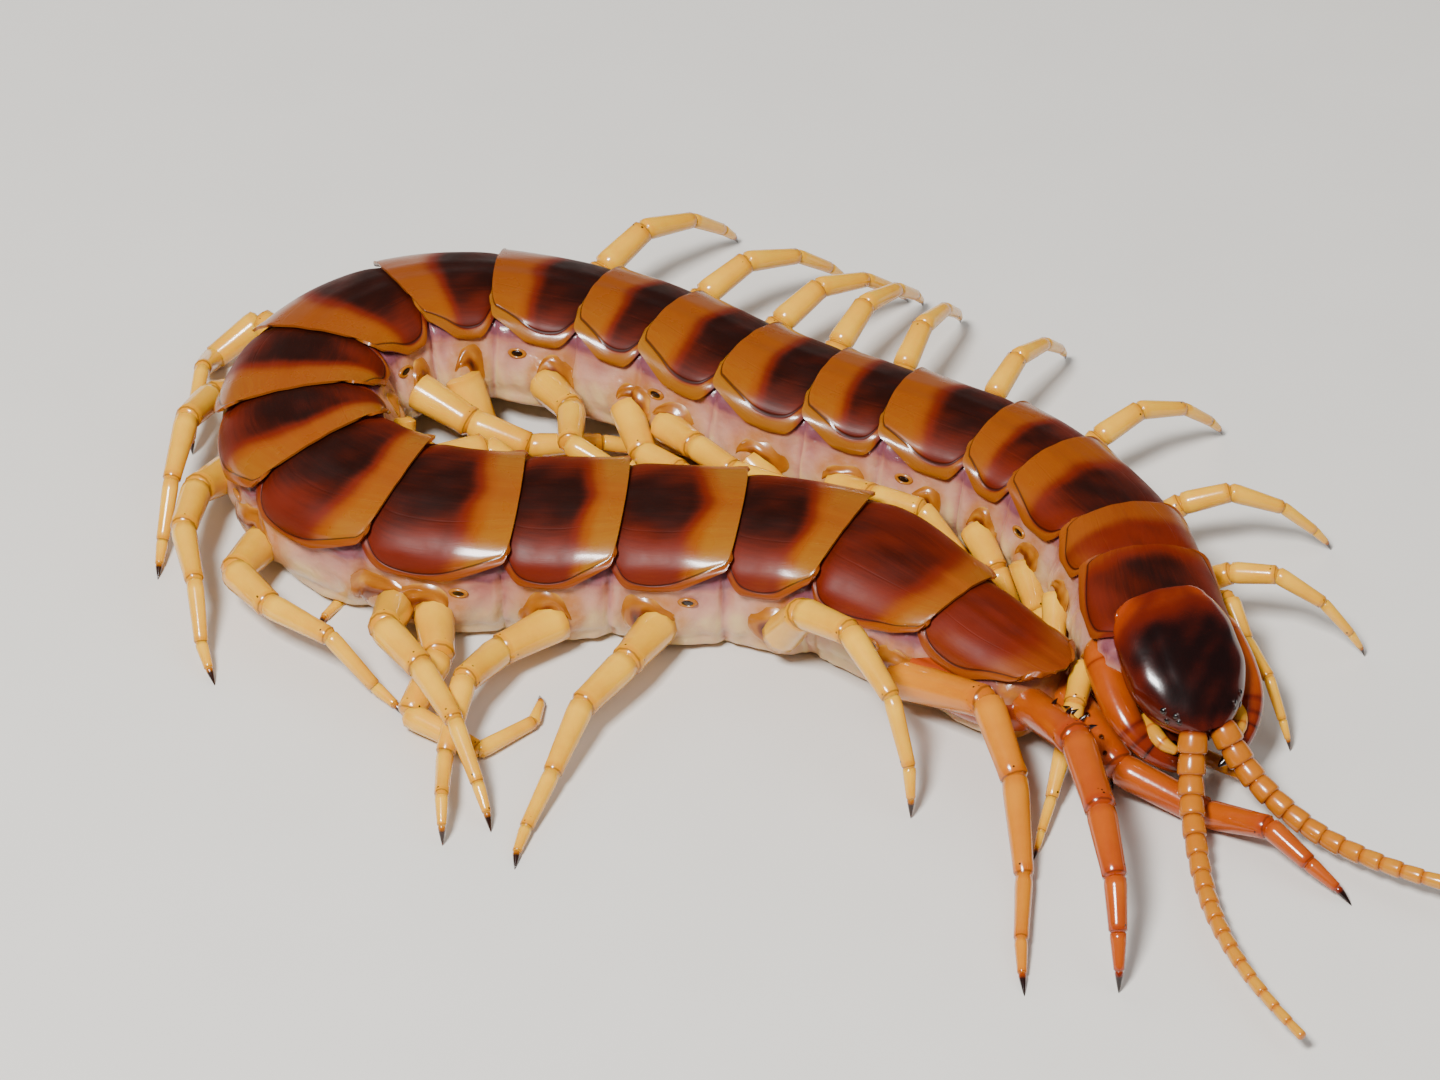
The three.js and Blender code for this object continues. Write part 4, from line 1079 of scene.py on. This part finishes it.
def model_belly_plate(index):
    """A flat pale plate under the body, its sides curled up."""
    def place(s, t):
        x = 2 * s - 1
        station = PLATE_STARTS[index] + (0.05 + 0.9 * t) * PLATE_LENGTHS[index]
        reach = 0.66 * np.sqrt(np.clip(1 - (np.abs(2 * t - 1) ** 5) * 0.35, 0, 1))
        curl = 0.05 * step_up(np.abs(x), 0.72, 1.0) * between(HEIGHT, station)
        across = between(WIDTH, station) / 2 * x * reach
        return on_body(station, across, 0.14 + curl - 0.03 * bell(np.abs(x), 0.4, 0.05))

    def tone(s, t):
        aside, to_end = np.abs(2 * s - 1), np.abs(2 * t - 1)
        return 0.86 - 0.3 * step_up(aside, 0.8, 1.0) - 0.25 * step_up(to_end, 0.85, 1.0)

    plate = sheet(f"belly_plate_{index + 1:02d}", BELLY_PLATE_GRID, place, tone=tone)
    return smooth(thicken(plate, BELLY_PLATE_THICK), 50)


def model_leg_shields(side, mound):
    """Curved amber shields on the soft side, above and ahead of the base of each leg."""
    shields = []
    for number, centre, height, stout in leg_bases(side):
        def place(s, t):
            angle = np.radians(-45 + 190 * s)
            inner = (1.02 + 0.08 * np.sin(3 * angle + number)) * stout
            width = (0.1 + 1.6 * np.sin(math.pi * s ** 0.75) + 0.16 * np.sin(4 * angle + number * 2)) * stout
            radius = inner + width * t
            station = centre - radius * np.cos(angle) * 1.04
            upwards = height + radius * np.sin(angle) * 0.94
            dome = 0.22 * np.sin(math.pi * t) ** 0.8 * np.sin(math.pi * s) ** 0.5 - 0.06
            dome = dome + 0.05 * ripple(s * 9, t * 5, number) + 0.05 * np.sin(t * 9 + 5 * s + number)
            return flank_point(station, np.maximum(upwards, 0.25), SIGN[side], dome, mound)

        def tone(s, t):
            core = bell(t, 0.25, 0.3) * bell(s, 0.4, 0.3)
            swirl = 0.16 * ripple(s * 8, t * 4, number) + 0.08 * np.sin(t * 9 + 5 * s)
            return np.clip(0.66 + 0.18 * np.abs(2 * t - 1) ** 3 - 0.42 * core + swirl, 0, 1)

        shield = sheet(f"leg_shield_{side}_{number:02d}", LEG_SHIELD_GRID, place, tone=tone)
        shields.append(turn_outwards(thicken(shield, LEG_SHIELD_THICK, offset=0)))
    return smooth(join(f"leg_shields_{side}", shields), 50)


def model_spiracles(side, mound):
    """Breathing holes: a slit painted dark as the shade inside the opening, in a small raised ring, below the
    rear of every second rim.
    """
    parts = []
    for segment in SPIRACLE_SEGMENTS:
        station = np.array([PLATE_STARTS[segment - 1] + 0.7 * PLATE_LENGTHS[segment - 1]])
        upwards = np.array([0.52 * float(between(HEIGHT, station[0]))])
        centre = flank_point(station, upwards, SIGN[side], 0.05, mound)[0]
        axes = body_frames(station)
        ahead = Vector(-axes["back"][0])
        outward = Vector(SIGN[side] * axes["right"][0])
        turn = Matrix((ahead, outward.cross(ahead), outward)).transposed().to_4x4()
        for kind, radius, wall, flat, tone in SPIRACLE_FORMS:
            name = f"spiracle_{side}_{segment:02d}_{kind}"
            parts.append(small_form(name, radius, wall, (16, 8), (1.25, 0.72, flat), turn, centre, tone))
    return smooth(join(f"spiracles_{side}", parts), 60)


def model_tail_lobes(side):
    """The long lobe beside the tail that carries a last leg and ends in a point."""
    stations, across, upwards, radii = np.array(TAIL_LOBE).T
    centres = on_body(stations, SIGN[side] * across, upwards)

    def tone(s, t):
        streak = 0.06 * ripple(s * 14, t * 3, 2.2)
        seams = sum(bell(s, seam, 0.012) for seam in (0.18, 0.32, 0.68, 0.82))
        ends = 0.2 * (1 - step_up(t, 0, 0.1))
        return np.clip(0.72 - 0.2 * step_up(t, 0.85, 1) + streak - 0.3 * seams - ends, 0, 1)

    return smooth(tube(f"tail_lobe_{side}", centres, radii, (22, 34), tone, flat=1.1), 60)


# Legs

def chain(root, outwards, forwards, lengths, bearings, pitches, tilt):
    """Joints of a limb from its root, each article set by its bearing and its pitch."""
    joints = [np.array(root, float)]
    for length, bearing, pitch in zip(lengths, bearings, pitches):
        bearing = math.radians(bearing)
        pitch = math.radians(min(max(pitch + tilt, -STEEPEST), STEEPEST))
        step = (outwards * math.cos(bearing) + forwards * math.sin(bearing)) * math.cos(pitch)
        step[2] = math.sin(pitch)
        joints.append(joints[-1] + step * length)
    return joints


def standing_chain(*limb):
    """The same limb, tilted as a whole until its tip stands on the ground."""
    low, high = -MOST_TILT, MOST_TILT
    for _ in range(TILT_TRIALS):
        middle = (low + high) / 2
        if chain(*limb, middle)[-1][2] > CLAW_TIP / 2:
            high = middle
        else:
            low = middle
    return chain(*limb, low)


def turned_masters(sides):
    """The article and the claw that every leg repeats."""
    article = turned("article_master", ARTICLE_PROFILE, sides)
    height = read_points(article.data)[:, 2]
    write_tone(article.data, 0.9 - 0.12 * step_up(height, 0.3, 1.0))
    write_values(article.data, "place", height)
    claw = turned("claw_master", CLAW_PROFILE, max(8, sides // 2), sweep=0.28)
    height = read_points(claw.data)[:, 2]
    write_tone(claw.data, 0.5 * (1 - step_up(height, -0.05, 0.35)))
    write_values(claw.data, "place", 0.5)
    return article, claw


def model_limb(name, joints, thicknesses, masters, flare):
    """A limb of tapering articles that ends in a dark claw, with its root widened by flare."""
    article, claw = masters
    parts = []
    for k, thick in enumerate(thicknesses[:-1]):
        taper = 1 + (thicknesses[k + 1] / thick - 1) * 0.85
        parts.append(article_copy(article, joints[k], joints[k + 1], thick, taper, flare if k == 0 else 0.0))
    parts.append(article_copy(claw, joints[-2], joints[-1], thicknesses[-1]))
    return smooth(join(name, parts), 60)


def model_walking_leg(number, side, masters):
    _, bearings, pitches = leg_pose(number, side)
    station = leg_station(number, side)
    axes = frame_at(station)
    outwards = axes["right"] * SIGN[side] * float(between(WIDTH, station)) / 2
    root = axes["origin"] + outwards + axes["up"] * LEG_HEIGHT * float(between(HEIGHT, station))
    size = leg_size(number)
    lengths = [length * size for length, _ in LEG_ARTICLES]
    if number == HINDMOST:
        lengths[0] = HINDMOST_PREFEMUR
    joints = standing_chain(root, axes["level"] * SIGN[side], -axes["back"], lengths, bearings, pitches)
    thicknesses = [thick * min(size, STOUTEST) for _, thick in LEG_ARTICLES]
    return model_limb(f"walking_leg_{side}_{number:02d}", joints, thicknesses, masters, LEG_FLARE)


def model_last_leg(side, masters):
    """A stout trailing leg with small black-tipped spinules on its first article."""
    axes = frame_at(BODY_LENGTH)
    root = axes["origin"] + axes["right"] * SIGN[side] * LAST_LEG_LATERAL + axes["up"] * LAST_LEG_HEIGHT
    lengths, thicknesses = zip(*LAST_LEG_ARTICLES)
    joints = standing_chain(root, axes["back"], axes["right"], lengths, *LAST_LEGS[side])
    name = f"trailing_leg_{side}"
    parts = [model_limb(name, joints, thicknesses, masters, 0.0)]
    start, end = joints[:2]
    axis = (end - start) / np.linalg.norm(end - start)
    beside = np.cross(axis, [0, 0, 1.0])
    beside /= np.linalg.norm(beside)
    above = np.cross(beside, axis)
    for share, degrees in SPINULES:
        angle = math.radians(180 - degrees if side == "left" else degrees)
        outward = beside * math.cos(angle) + above * math.sin(angle)
        radius = thicknesses[0] / 2 * (0.9 + 0.08 * share)
        foot = start + (end - start) * share + outward * radius * 0.9
        tip = foot + outward * SPINULE_OUT + axis * SPINULE_BACK
        parts.append(article_copy(masters[1], foot, tip, SPINULE_THICK))
    return smooth(join(name, parts), 60)


# Head

NECK = frame_at(0)
NECK_TOP = NECK["origin"] + NECK["up"] * float(between(HEIGHT, 0))
HEAD_TURN = math.radians(HEAD_YAW)
HEAD_FORWARD = np.array([
    -NECK["back"][0] * math.cos(HEAD_TURN) + NECK["back"][1] * math.sin(HEAD_TURN),
    -NECK["back"][0] * math.sin(HEAD_TURN) - NECK["back"][1] * math.cos(HEAD_TURN), 0])
HEAD_RIGHT = np.cross(HEAD_FORWARD, [0, 0, 1.0])
HEAD_DISTANCES = np.arange(0, HEAD_REACH + 0.6, HEAD_STEP)


def head_point(sideways, forwards, height):
    """Points beside, ahead of and above the neck: sideways is towards the animal's right."""
    flat = NECK_TOP[:2] + np.outer(sideways, HEAD_RIGHT[:2]) + np.outer(forwards, HEAD_FORWARD[:2])
    return np.column_stack([flat, np.broadcast_to(height, len(flat))])


def head_profile():
    """Upper line of the head as places forwards, heights and pitches, at HEAD_DISTANCES."""
    pitch = np.radians(between(HEAD_PITCH, HEAD_DISTANCES))
    forwards = -HEAD_BEHIND + np.concatenate([[0], np.cumsum(HEAD_STEP * np.cos(pitch[:-1]))])
    heights = NECK_TOP[2] + HEAD_LIP - np.concatenate([[0], np.cumsum(HEAD_STEP * np.sin(pitch[:-1]))])
    return forwards, heights, pitch


HEAD_PROFILE = head_profile()
HEAD_SHAPE = smooth_line(HEAD_RINGS)


def head_surface(distance, around, grow=0.0):
    """Points on the head: around runs from -1 to 1 over the left side, the top and the right side."""
    forwards, height, pitch = (np.interp(distance, HEAD_DISTANCES, line) for line in HEAD_PROFILE)
    half, depth = (np.interp(distance, HEAD_SHAPE[:, 0], HEAD_SHAPE[:, k]) for k in (1, 2))
    section = along(HEAD_LINE, (np.asarray(around, float) + 1) / 2)
    outline = np.stack([section[:, 0] * half, (0.5 - section[:, 1]) * depth], axis=1)
    size = np.maximum(np.linalg.norm(outline, axis=1), 0.05)
    outline = outline * (1 + grow / size)[:, None]
    below = depth / 2 - outline[:, 1]
    return head_point(outline[:, 0], forwards - below * np.sin(pitch), height - below * np.cos(pitch))


def model_head_plate():
    """The rounded shield over the head, with a raised edge and two faint furrows."""
    def parts(s, t):
        x = 1 - 2 * s
        across_share = x * (1.3 - 0.3 * x * x)
        distance = 0.02 + 10.1 * (t + 0.03 * np.sin(2 * math.pi * t))
        return across_share, distance, (1 - np.abs(across_share)) * 5.4

    def place(s, t):
        across_share, distance, inside = parts(s, t)
        narrowing = 0.22 * (1 - step_up(distance, 0, 1.6))
        reach = PLATE_AROUND * (1 - narrowing - 0.2 * step_up(distance, 7.4, 10.1))
        rim = 0.12 * (1 - step_up(inside, 0.2, 0.45)) - 0.05 * bell(inside, 0.62, 0.18)
        rear = 0.1 * bell(distance, 0.25, 0.22) - 0.06 * bell(distance, 0.75, 0.2)
        furrow = -0.05 * bell(np.abs(across_share), 0.28, 0.05) * step_up(distance, 1, 3)
        furrow = furrow * (1 - step_up(distance, 6, 8))
        dents = 0.04 * ripple(across_share * 5, distance * 0.9, 0.4)
        return head_surface(distance, across_share * reach, 0.1 + rim + rear + furrow + dents)

    def tone(s, t):
        across_share, distance, inside = parts(s, t)
        value = 0.03 + 0.3 * step_up(np.abs(across_share), 0.3, 0.95)
        value = value + 0.36 * (1 - step_up(distance, 0.8, 3.4)) + 0.12 * step_up(distance, 8.8, 10)
        value = value + 0.05 * ripple(across_share * 6, distance * 1.1, 2.7)
        value = value + (0.42 - value) * (1 - step_up(inside, 0.2, 0.5)) * 0.7
        return np.clip(value - 0.12 * bell(inside, 0.65, 0.16), 0, 1)

    return smooth(thicken(sheet("head_shield", HEAD_GRID, place, tone=tone), HEAD_PLATE_THICK), 60)


def model_head_base():
    """The softer shell under the head shield, closed all round."""
    def place(s, t):
        distance = HEAD_REACH * t
        outer = head_surface(distance, 1 - 2 * s, -0.08)
        middle = head_surface(distance, np.zeros_like(s), -0.6)
        closing = np.sqrt(np.clip(1 - (np.abs(2 * t - 1) ** 14), 0, 1))
        return middle + (outer - middle) * closing[:, None]

    def tone(s, t):
        around = np.abs(1 - 2 * s)
        return np.clip(0.5 + 0.2 * step_up(around, 0.6, 0.95) + 0.08 * ripple(s * 11, t * 6, 1.1), 0, 1)

    return smooth(close_up(sheet("head_base", HEAD_BASE_GRID, place, tone=tone)), 60)


def model_eyes(side, radius):
    """Four simple eyes, each a dark bead in a low ring."""
    parts = []
    for order, (distance, around, share) in enumerate(EYES):
        where = SIGN[side] * around
        centre = head_surface([distance], [where], 0.16)[0]
        turn = turn_to(head_surface([distance], [where], 0.6)[0] - centre)
        size = radius * share
        name = f"eye_{side}_{order}"
        parts.append(small_form(f"{name}_bead", size, None, (20, 12), (1, 1, 0.8), turn, centre, 0.0))
        parts.append(small_form(f"{name}_ring", size * 1.04, 0.07, None, (1, 1, 1), turn, centre, 0.3))
    return smooth(join(f"eyes_{side}", parts), 60)


def model_claw_plate():
    """The rounded plate under the head, with four small teeth on each side of its front edge."""
    rings = smooth_line(CLAW_PLATE_RINGS)

    def place(s, t):
        forwards = rings[0, 0] + (rings[-1, 0] - rings[0, 0]) * t
        half, bottom, top = (np.interp(forwards, rings[:, 0], rings[:, k]) for k in (1, 2, 3))
        angle = 2 * math.pi * s
        closing = np.sqrt(np.clip(1 - np.abs(2 * t - 1) ** 12, 0, 1))
        across = np.sign(np.cos(angle)) * np.abs(np.cos(angle)) ** 0.62 * half * closing
        rise = np.sign(np.sin(angle)) * np.abs(np.sin(angle)) ** 0.62 * (top - bottom) / 2 * closing
        return head_point(across, forwards, (top + bottom) / 2 + rise)

    def tone(s, t):
        return np.clip(0.62 - 0.3 * step_up(t, 0.8, 1.0) + 0.07 * ripple(s * 12, t * 5, 0.9), 0, 1)

    parts = [close_up(sheet("claw_plate", CLAW_PLATE_GRID, place, tone=tone))]
    front, _, bottom, _ = CLAW_PLATE_RINGS[-1]
    for side in SIDES:
        for order in range(TEETH):
            deselect_all()
            bpy.ops.mesh.primitive_cone_add(vertices=10, **{key: size * MM for key, size in TOOTH.items()})
            tooth = name_piece(bpy.context.object, f"tooth_{side}_{order}")
            sideways = SIGN[side] * (0.35 + 0.36 * order)
            foot = head_point([sideways], [front + 0.08 - 0.08 * order], bottom + 0.9)[0]
            tooth.data.transform(Matrix.Translation(Vector(foot * MM)) @ turn_to(HEAD_FORWARD))
            write_tone(tooth.data, 0.0)
            parts.append(tooth)
    return smooth(join("claw_plate", parts), 60)


def head_tube(name, joints, side, grid, tone, flat=1.0):
    """A limb beside the mouth, from the place sideways, forwards and up and the thickness at its joints."""
    sideways, forwards, heights, thicknesses = np.array(joints, float).T
    centres = head_point(SIGN[side] * sideways, forwards, heights)
    return smooth(tube(name, centres, thicknesses / 2, grid, tone, flat), 60)


def model_poison_claw(side):
    """A stout curved jaw of four articles that ends in a dark fang."""
    def tone(s, t):
        borders = sum(bell(t, place, 0.01) for place in (0.2, 0.58, 0.65, 0.72))
        value = 0.7 - 0.12 * step_up(t, 0.18, 0.24)
        value = value - 0.26 * step_up(t, 0.45, 0.7) - 0.34 * step_up(t, 0.78, 0.95)
        return np.clip(value - 0.25 * borders + 0.05 * ripple(s * 12, t * 9, 0.3), 0, 1)

    return head_tube(f"poison_jaw_{side}", POISON_CLAW, side, (28, 90), tone, flat=0.95)


def model_palp(side):
    def tone(s, t):
        borders = sum(bell(t, place, 0.02) for place in (0.38, 0.7))
        return np.clip(0.9 - 0.4 * borders - 0.6 * step_up(t, 0.93, 1.0), 0, 1)

    return head_tube(f"feeler_{side}", PALP, side, (16, 40), tone)


def antenna_line(side):
    """Joints and thicknesses of an antenna."""
    bearings, pitches = ANTENNA_PATHS[side]
    point = head_point([SIGN[side] * ANTENNA_ROOT[0]], [ANTENNA_ROOT[1]], ANTENNA_ROOT[2])[0]
    joints, thicknesses = [], []
    for share in np.arange(ANTENNA_ARTICLES + 1) / ANTENNA_ARTICLES:
        bearing = math.radians(float(between(bearings, share)))
        pitch = math.radians(float(between(pitches, share)))
        step = HEAD_FORWARD * math.cos(bearing) + HEAD_RIGHT * SIGN[side] * math.sin(bearing)
        step = step * math.cos(pitch)
        step[2] = math.sin(pitch)
        joints.append(point)
        thicknesses.append(ANTENNA_THICK + (ANTENNA_TIP - ANTENNA_THICK) * share ** 0.8)
        point = point + step * (ANTENNA_LENGTH / ANTENNA_ARTICLES)
    return joints, thicknesses


def model_antenna(side, master):
    joints, thicknesses = antenna_line(side)
    parts = []
    for k in range(ANTENNA_ARTICLES):
        part = article_copy(master, joints[k], joints[k + 1], (thicknesses[k] + thicknesses[k + 1]) / 2)
        tones = np.empty(len(part.data.vertices), np.float32)
        part.data.attributes["tone"].data.foreach_get("value", tones)
        fade = k / ANTENNA_ARTICLES
        write_tone(part.data, np.clip(tones * (0.62 + 0.3 * fade) + 0.1 * fade, 0, 1))
        parts.append(part)
    return smooth(join(f"feeler_horn_{side}", parts), 60)


# Operators

class CENTIPEDE_OT_flesh(bpy.types.Operator):
    """Model the soft skin of the trunk"""

    bl_idname = "centipede.flesh"
    bl_label = "Flesh"

    def execute(self, context):
        settings = context.scene.centipede_flesh
        piece = paint(model_flesh(settings), flesh_material(settings))
        settle(piece, "trunk", *(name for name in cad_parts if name.startswith("trunk_")))
        return {"FINISHED"}


class CENTIPEDE_OT_back_plates(bpy.types.Operator):
    """Model the back plates, one for each pair of legs"""

    bl_idname = "centipede.back_plates"
    bl_label = "Back plates"

    def execute(self, context):
        settings = context.scene.centipede_shell
        material = back_plate_material(settings)
        for index in range(SEGMENTS):
            settle(paint(model_back_plate(index, settings), material), "trunk")
        return {"FINISHED"}


class CENTIPEDE_OT_belly_plates(bpy.types.Operator):
    """Model the pale plates under the belly"""

    bl_idname = "centipede.belly_plates"
    bl_label = "Belly plates"

    def execute(self, context):
        material = plain_shell_material("Belly plate shell")
        for index in range(SEGMENTS):
            settle(paint(model_belly_plate(index), material), "trunk")
        return {"FINISHED"}


class CENTIPEDE_OT_side_details(bpy.types.Operator):
    """Model the shields round the legs, the breathing holes and the lobes of the tail"""

    bl_idname = "centipede.side_details"
    bl_label = "Side details"

    def execute(self, context):
        mound = context.scene.centipede_flesh.mound
        amber = plain_shell_material("Side shield shell")
        red = plain_shell_material("Tail lobe shell")
        for side in SIDES:
            settle(paint(model_leg_shields(side, mound), amber), "trunk")
            settle(paint(model_spiracles(side, mound), amber), "trunk")
            settle(paint(model_tail_lobes(side), red), "trunk")
        return {"FINISHED"}


class CENTIPEDE_OT_legs(bpy.types.Operator):
    """Model the walking legs and the trailing legs"""

    bl_idname = "centipede.legs"
    bl_label = "Legs"

    def execute(self, context):
        settings = context.scene.centipede_legs
        masters = turned_masters(settings.sides)
        colors = (settings.mark, settings.amber, settings.yellow, settings.cream)
        pale = plain_shell_material("Leg shell", colors, jointed=True)
        orange = plain_shell_material("Hind leg shell", jointed=True)
        red = plain_shell_material("Trailing leg shell", jointed=True)
        for side in SIDES:
            for number in range(1, SEGMENTS):
                leg = paint(model_walking_leg(number, side, masters), orange if number == HINDMOST else pale)
                settle(leg, "leg_shell", f"leg_{side}_{number:02d}")
            settle(paint(model_last_leg(side, masters), red), "amber_shell", f"last_leg_{side}")
        discard(*masters)
        return {"FINISHED"}


class CENTIPEDE_OT_head(bpy.types.Operator):
    """Model the head shield, the shell under it and the eyes"""

    bl_idname = "centipede.head"
    bl_label = "Head"

    def execute(self, context):
        settings = context.scene.centipede_head
        colors = (settings.dark, settings.deep, settings.warm, settings.pale)
        shell = plain_shell_material("Head shell", colors)
        glass = plain_shell_material("Eye shell")
        settle(paint(model_head_plate(), shell), "head_plate", "head")
        settle(paint(model_head_base(), shell), "head_plate")
        for side in SIDES:
            settle(paint(model_eyes(side, settings.eye), glass), "head_plate")
        return {"FINISHED"}


class CENTIPEDE_OT_mouth_limbs(bpy.types.Operator):
    """Model the claw plate, the poison claws, the palps and the antennae"""

    bl_idname = "centipede.mouth_limbs"
    bl_label = "Mouth limbs and antennae"

    def execute(self, context):
        amber = plain_shell_material("Amber shell")
        horn = plain_shell_material("Antenna shell")
        settle(paint(model_claw_plate(), amber), "amber_shell", "poison_claw_plate")
        master = turned("antenna_master", ANTENNA_PROFILE, ANTENNA_SIDES)
        height = read_points(master.data)[:, 2]
        tones = 0.95 - 0.5 * (1 - step_up(height, 0, 0.16)) - 0.25 * step_up(height, 0.88, 1)
        write_tone(master.data, np.clip(tones, 0, 1))
        for side in SIDES:
            settle(paint(model_poison_claw(side), amber), "amber_shell", f"poison_claw_{side}")
            settle(paint(model_palp(side), horn), "amber_shell", f"palp_{side}")
            settle(paint(model_antenna(side, master), horn), "amber_shell", f"antenna_{side}")
        discard(master)
        return {"FINISHED"}


class CENTIPEDE_OT_stage(bpy.types.Operator):
    """Set out the floor, the soft lights and the camera"""

    bl_idname = "centipede.stage"
    bl_label = "Stage"

    def execute(self, context):
        settings = context.scene.centipede_stage
        deselect_all()
        bpy.ops.mesh.primitive_plane_add(size=FLOOR_SIZE)
        floor = name_piece(bpy.context.object, "floor")
        material, tree, inputs = start_material("Pale floor")
        inputs["Roughness"].default_value = 0.6
        grain = tree.noise(tree.surface("Object"), 90, 2)
        tree.feed(inputs["Base Color"], tree.mix(grain, color(settings.floor), color(FLOOR_GRAIN)))
        paint(floor, material)
        target = Vector(CAMERA_TARGET) * MM
        for name, (spot, size, power) in LIGHTS.items():
            bpy.ops.object.light_add(type="AREA", location=spot)
            light = bpy.context.object
            light.name = f"{name}_light"
            light.data.size = size
            light.data.energy = getattr(settings, power)
            light.visible_glossy = name == "key"
            light.rotation_euler = (target - light.location).to_track_quat("-Z", "Y").to_euler()
        world = bpy.data.worlds.new("Even light")
        world.use_nodes = True
        sky = world.node_tree.nodes["Background"].inputs
        sky["Color"].default_value = color(SKY_COLOR)
        sky["Strength"].default_value = settings.sky
        context.scene.world = world
        away = Vector((0, -math.cos(settings.elevation), math.sin(settings.elevation)))
        bpy.ops.object.camera_add(location=target + away * settings.distance,
                                  rotation=(math.pi / 2 - settings.elevation, 0, 0))
        camera = bpy.context.object
        camera.name = "camera"
        camera.data.sensor_width = SENSOR_WIDTH
        camera.data.lens = SENSOR_WIDTH / 2 / math.tan(settings.field / 2)
        camera.data.clip_start = CLIP_START
        context.scene.camera = camera
        return {"FINISHED"}


PIECE_OPERATORS = (
    CENTIPEDE_OT_stage, CENTIPEDE_OT_flesh, CENTIPEDE_OT_back_plates, CENTIPEDE_OT_belly_plates,
    CENTIPEDE_OT_side_details, CENTIPEDE_OT_legs, CENTIPEDE_OT_head, CENTIPEDE_OT_mouth_limbs,
)


class CENTIPEDE_PT_panel(bpy.types.Panel):
    """Pieces of the centipede, in the order that they are made"""

    bl_idname = "CENTIPEDE_PT_panel"
    bl_label = "Giant centipede"
    bl_space_type = "VIEW_3D"
    bl_region_type = "UI"
    bl_category = "Centipede"

    def draw(self, context):
        for operator in PIECE_OPERATORS:
            self.layout.operator(operator.bl_idname)


SETTINGS = {
    "centipede_shell": CentipedeShellSettings,
    "centipede_flesh": CentipedeFleshSettings,
    "centipede_legs": CentipedeLegSettings,
    "centipede_head": CentipedeHeadSettings,
    "centipede_stage": CentipedeStageSettings,
}


def register():
    for group in SETTINGS.values():
        bpy.utils.register_class(group)
    for operator in PIECE_OPERATORS:
        bpy.utils.register_class(operator)
    bpy.utils.register_class(CENTIPEDE_PT_panel)
    for name, group in SETTINGS.items():
        setattr(bpy.types.Scene, name, PointerProperty(type=group))


def unregister():
    for name in SETTINGS:
        delattr(bpy.types.Scene, name)
    bpy.utils.unregister_class(CENTIPEDE_PT_panel)
    for operator in reversed(PIECE_OPERATORS):
        bpy.utils.unregister_class(operator)
    for group in reversed(tuple(SETTINGS.values())):
        bpy.utils.unregister_class(group)


def main():
    register()
    for operator in PIECE_OPERATORS:
        group, name = operator.bl_idname.split(".")
        getattr(getattr(bpy.ops, group), name)()


if __name__ == "__main__":
    main()
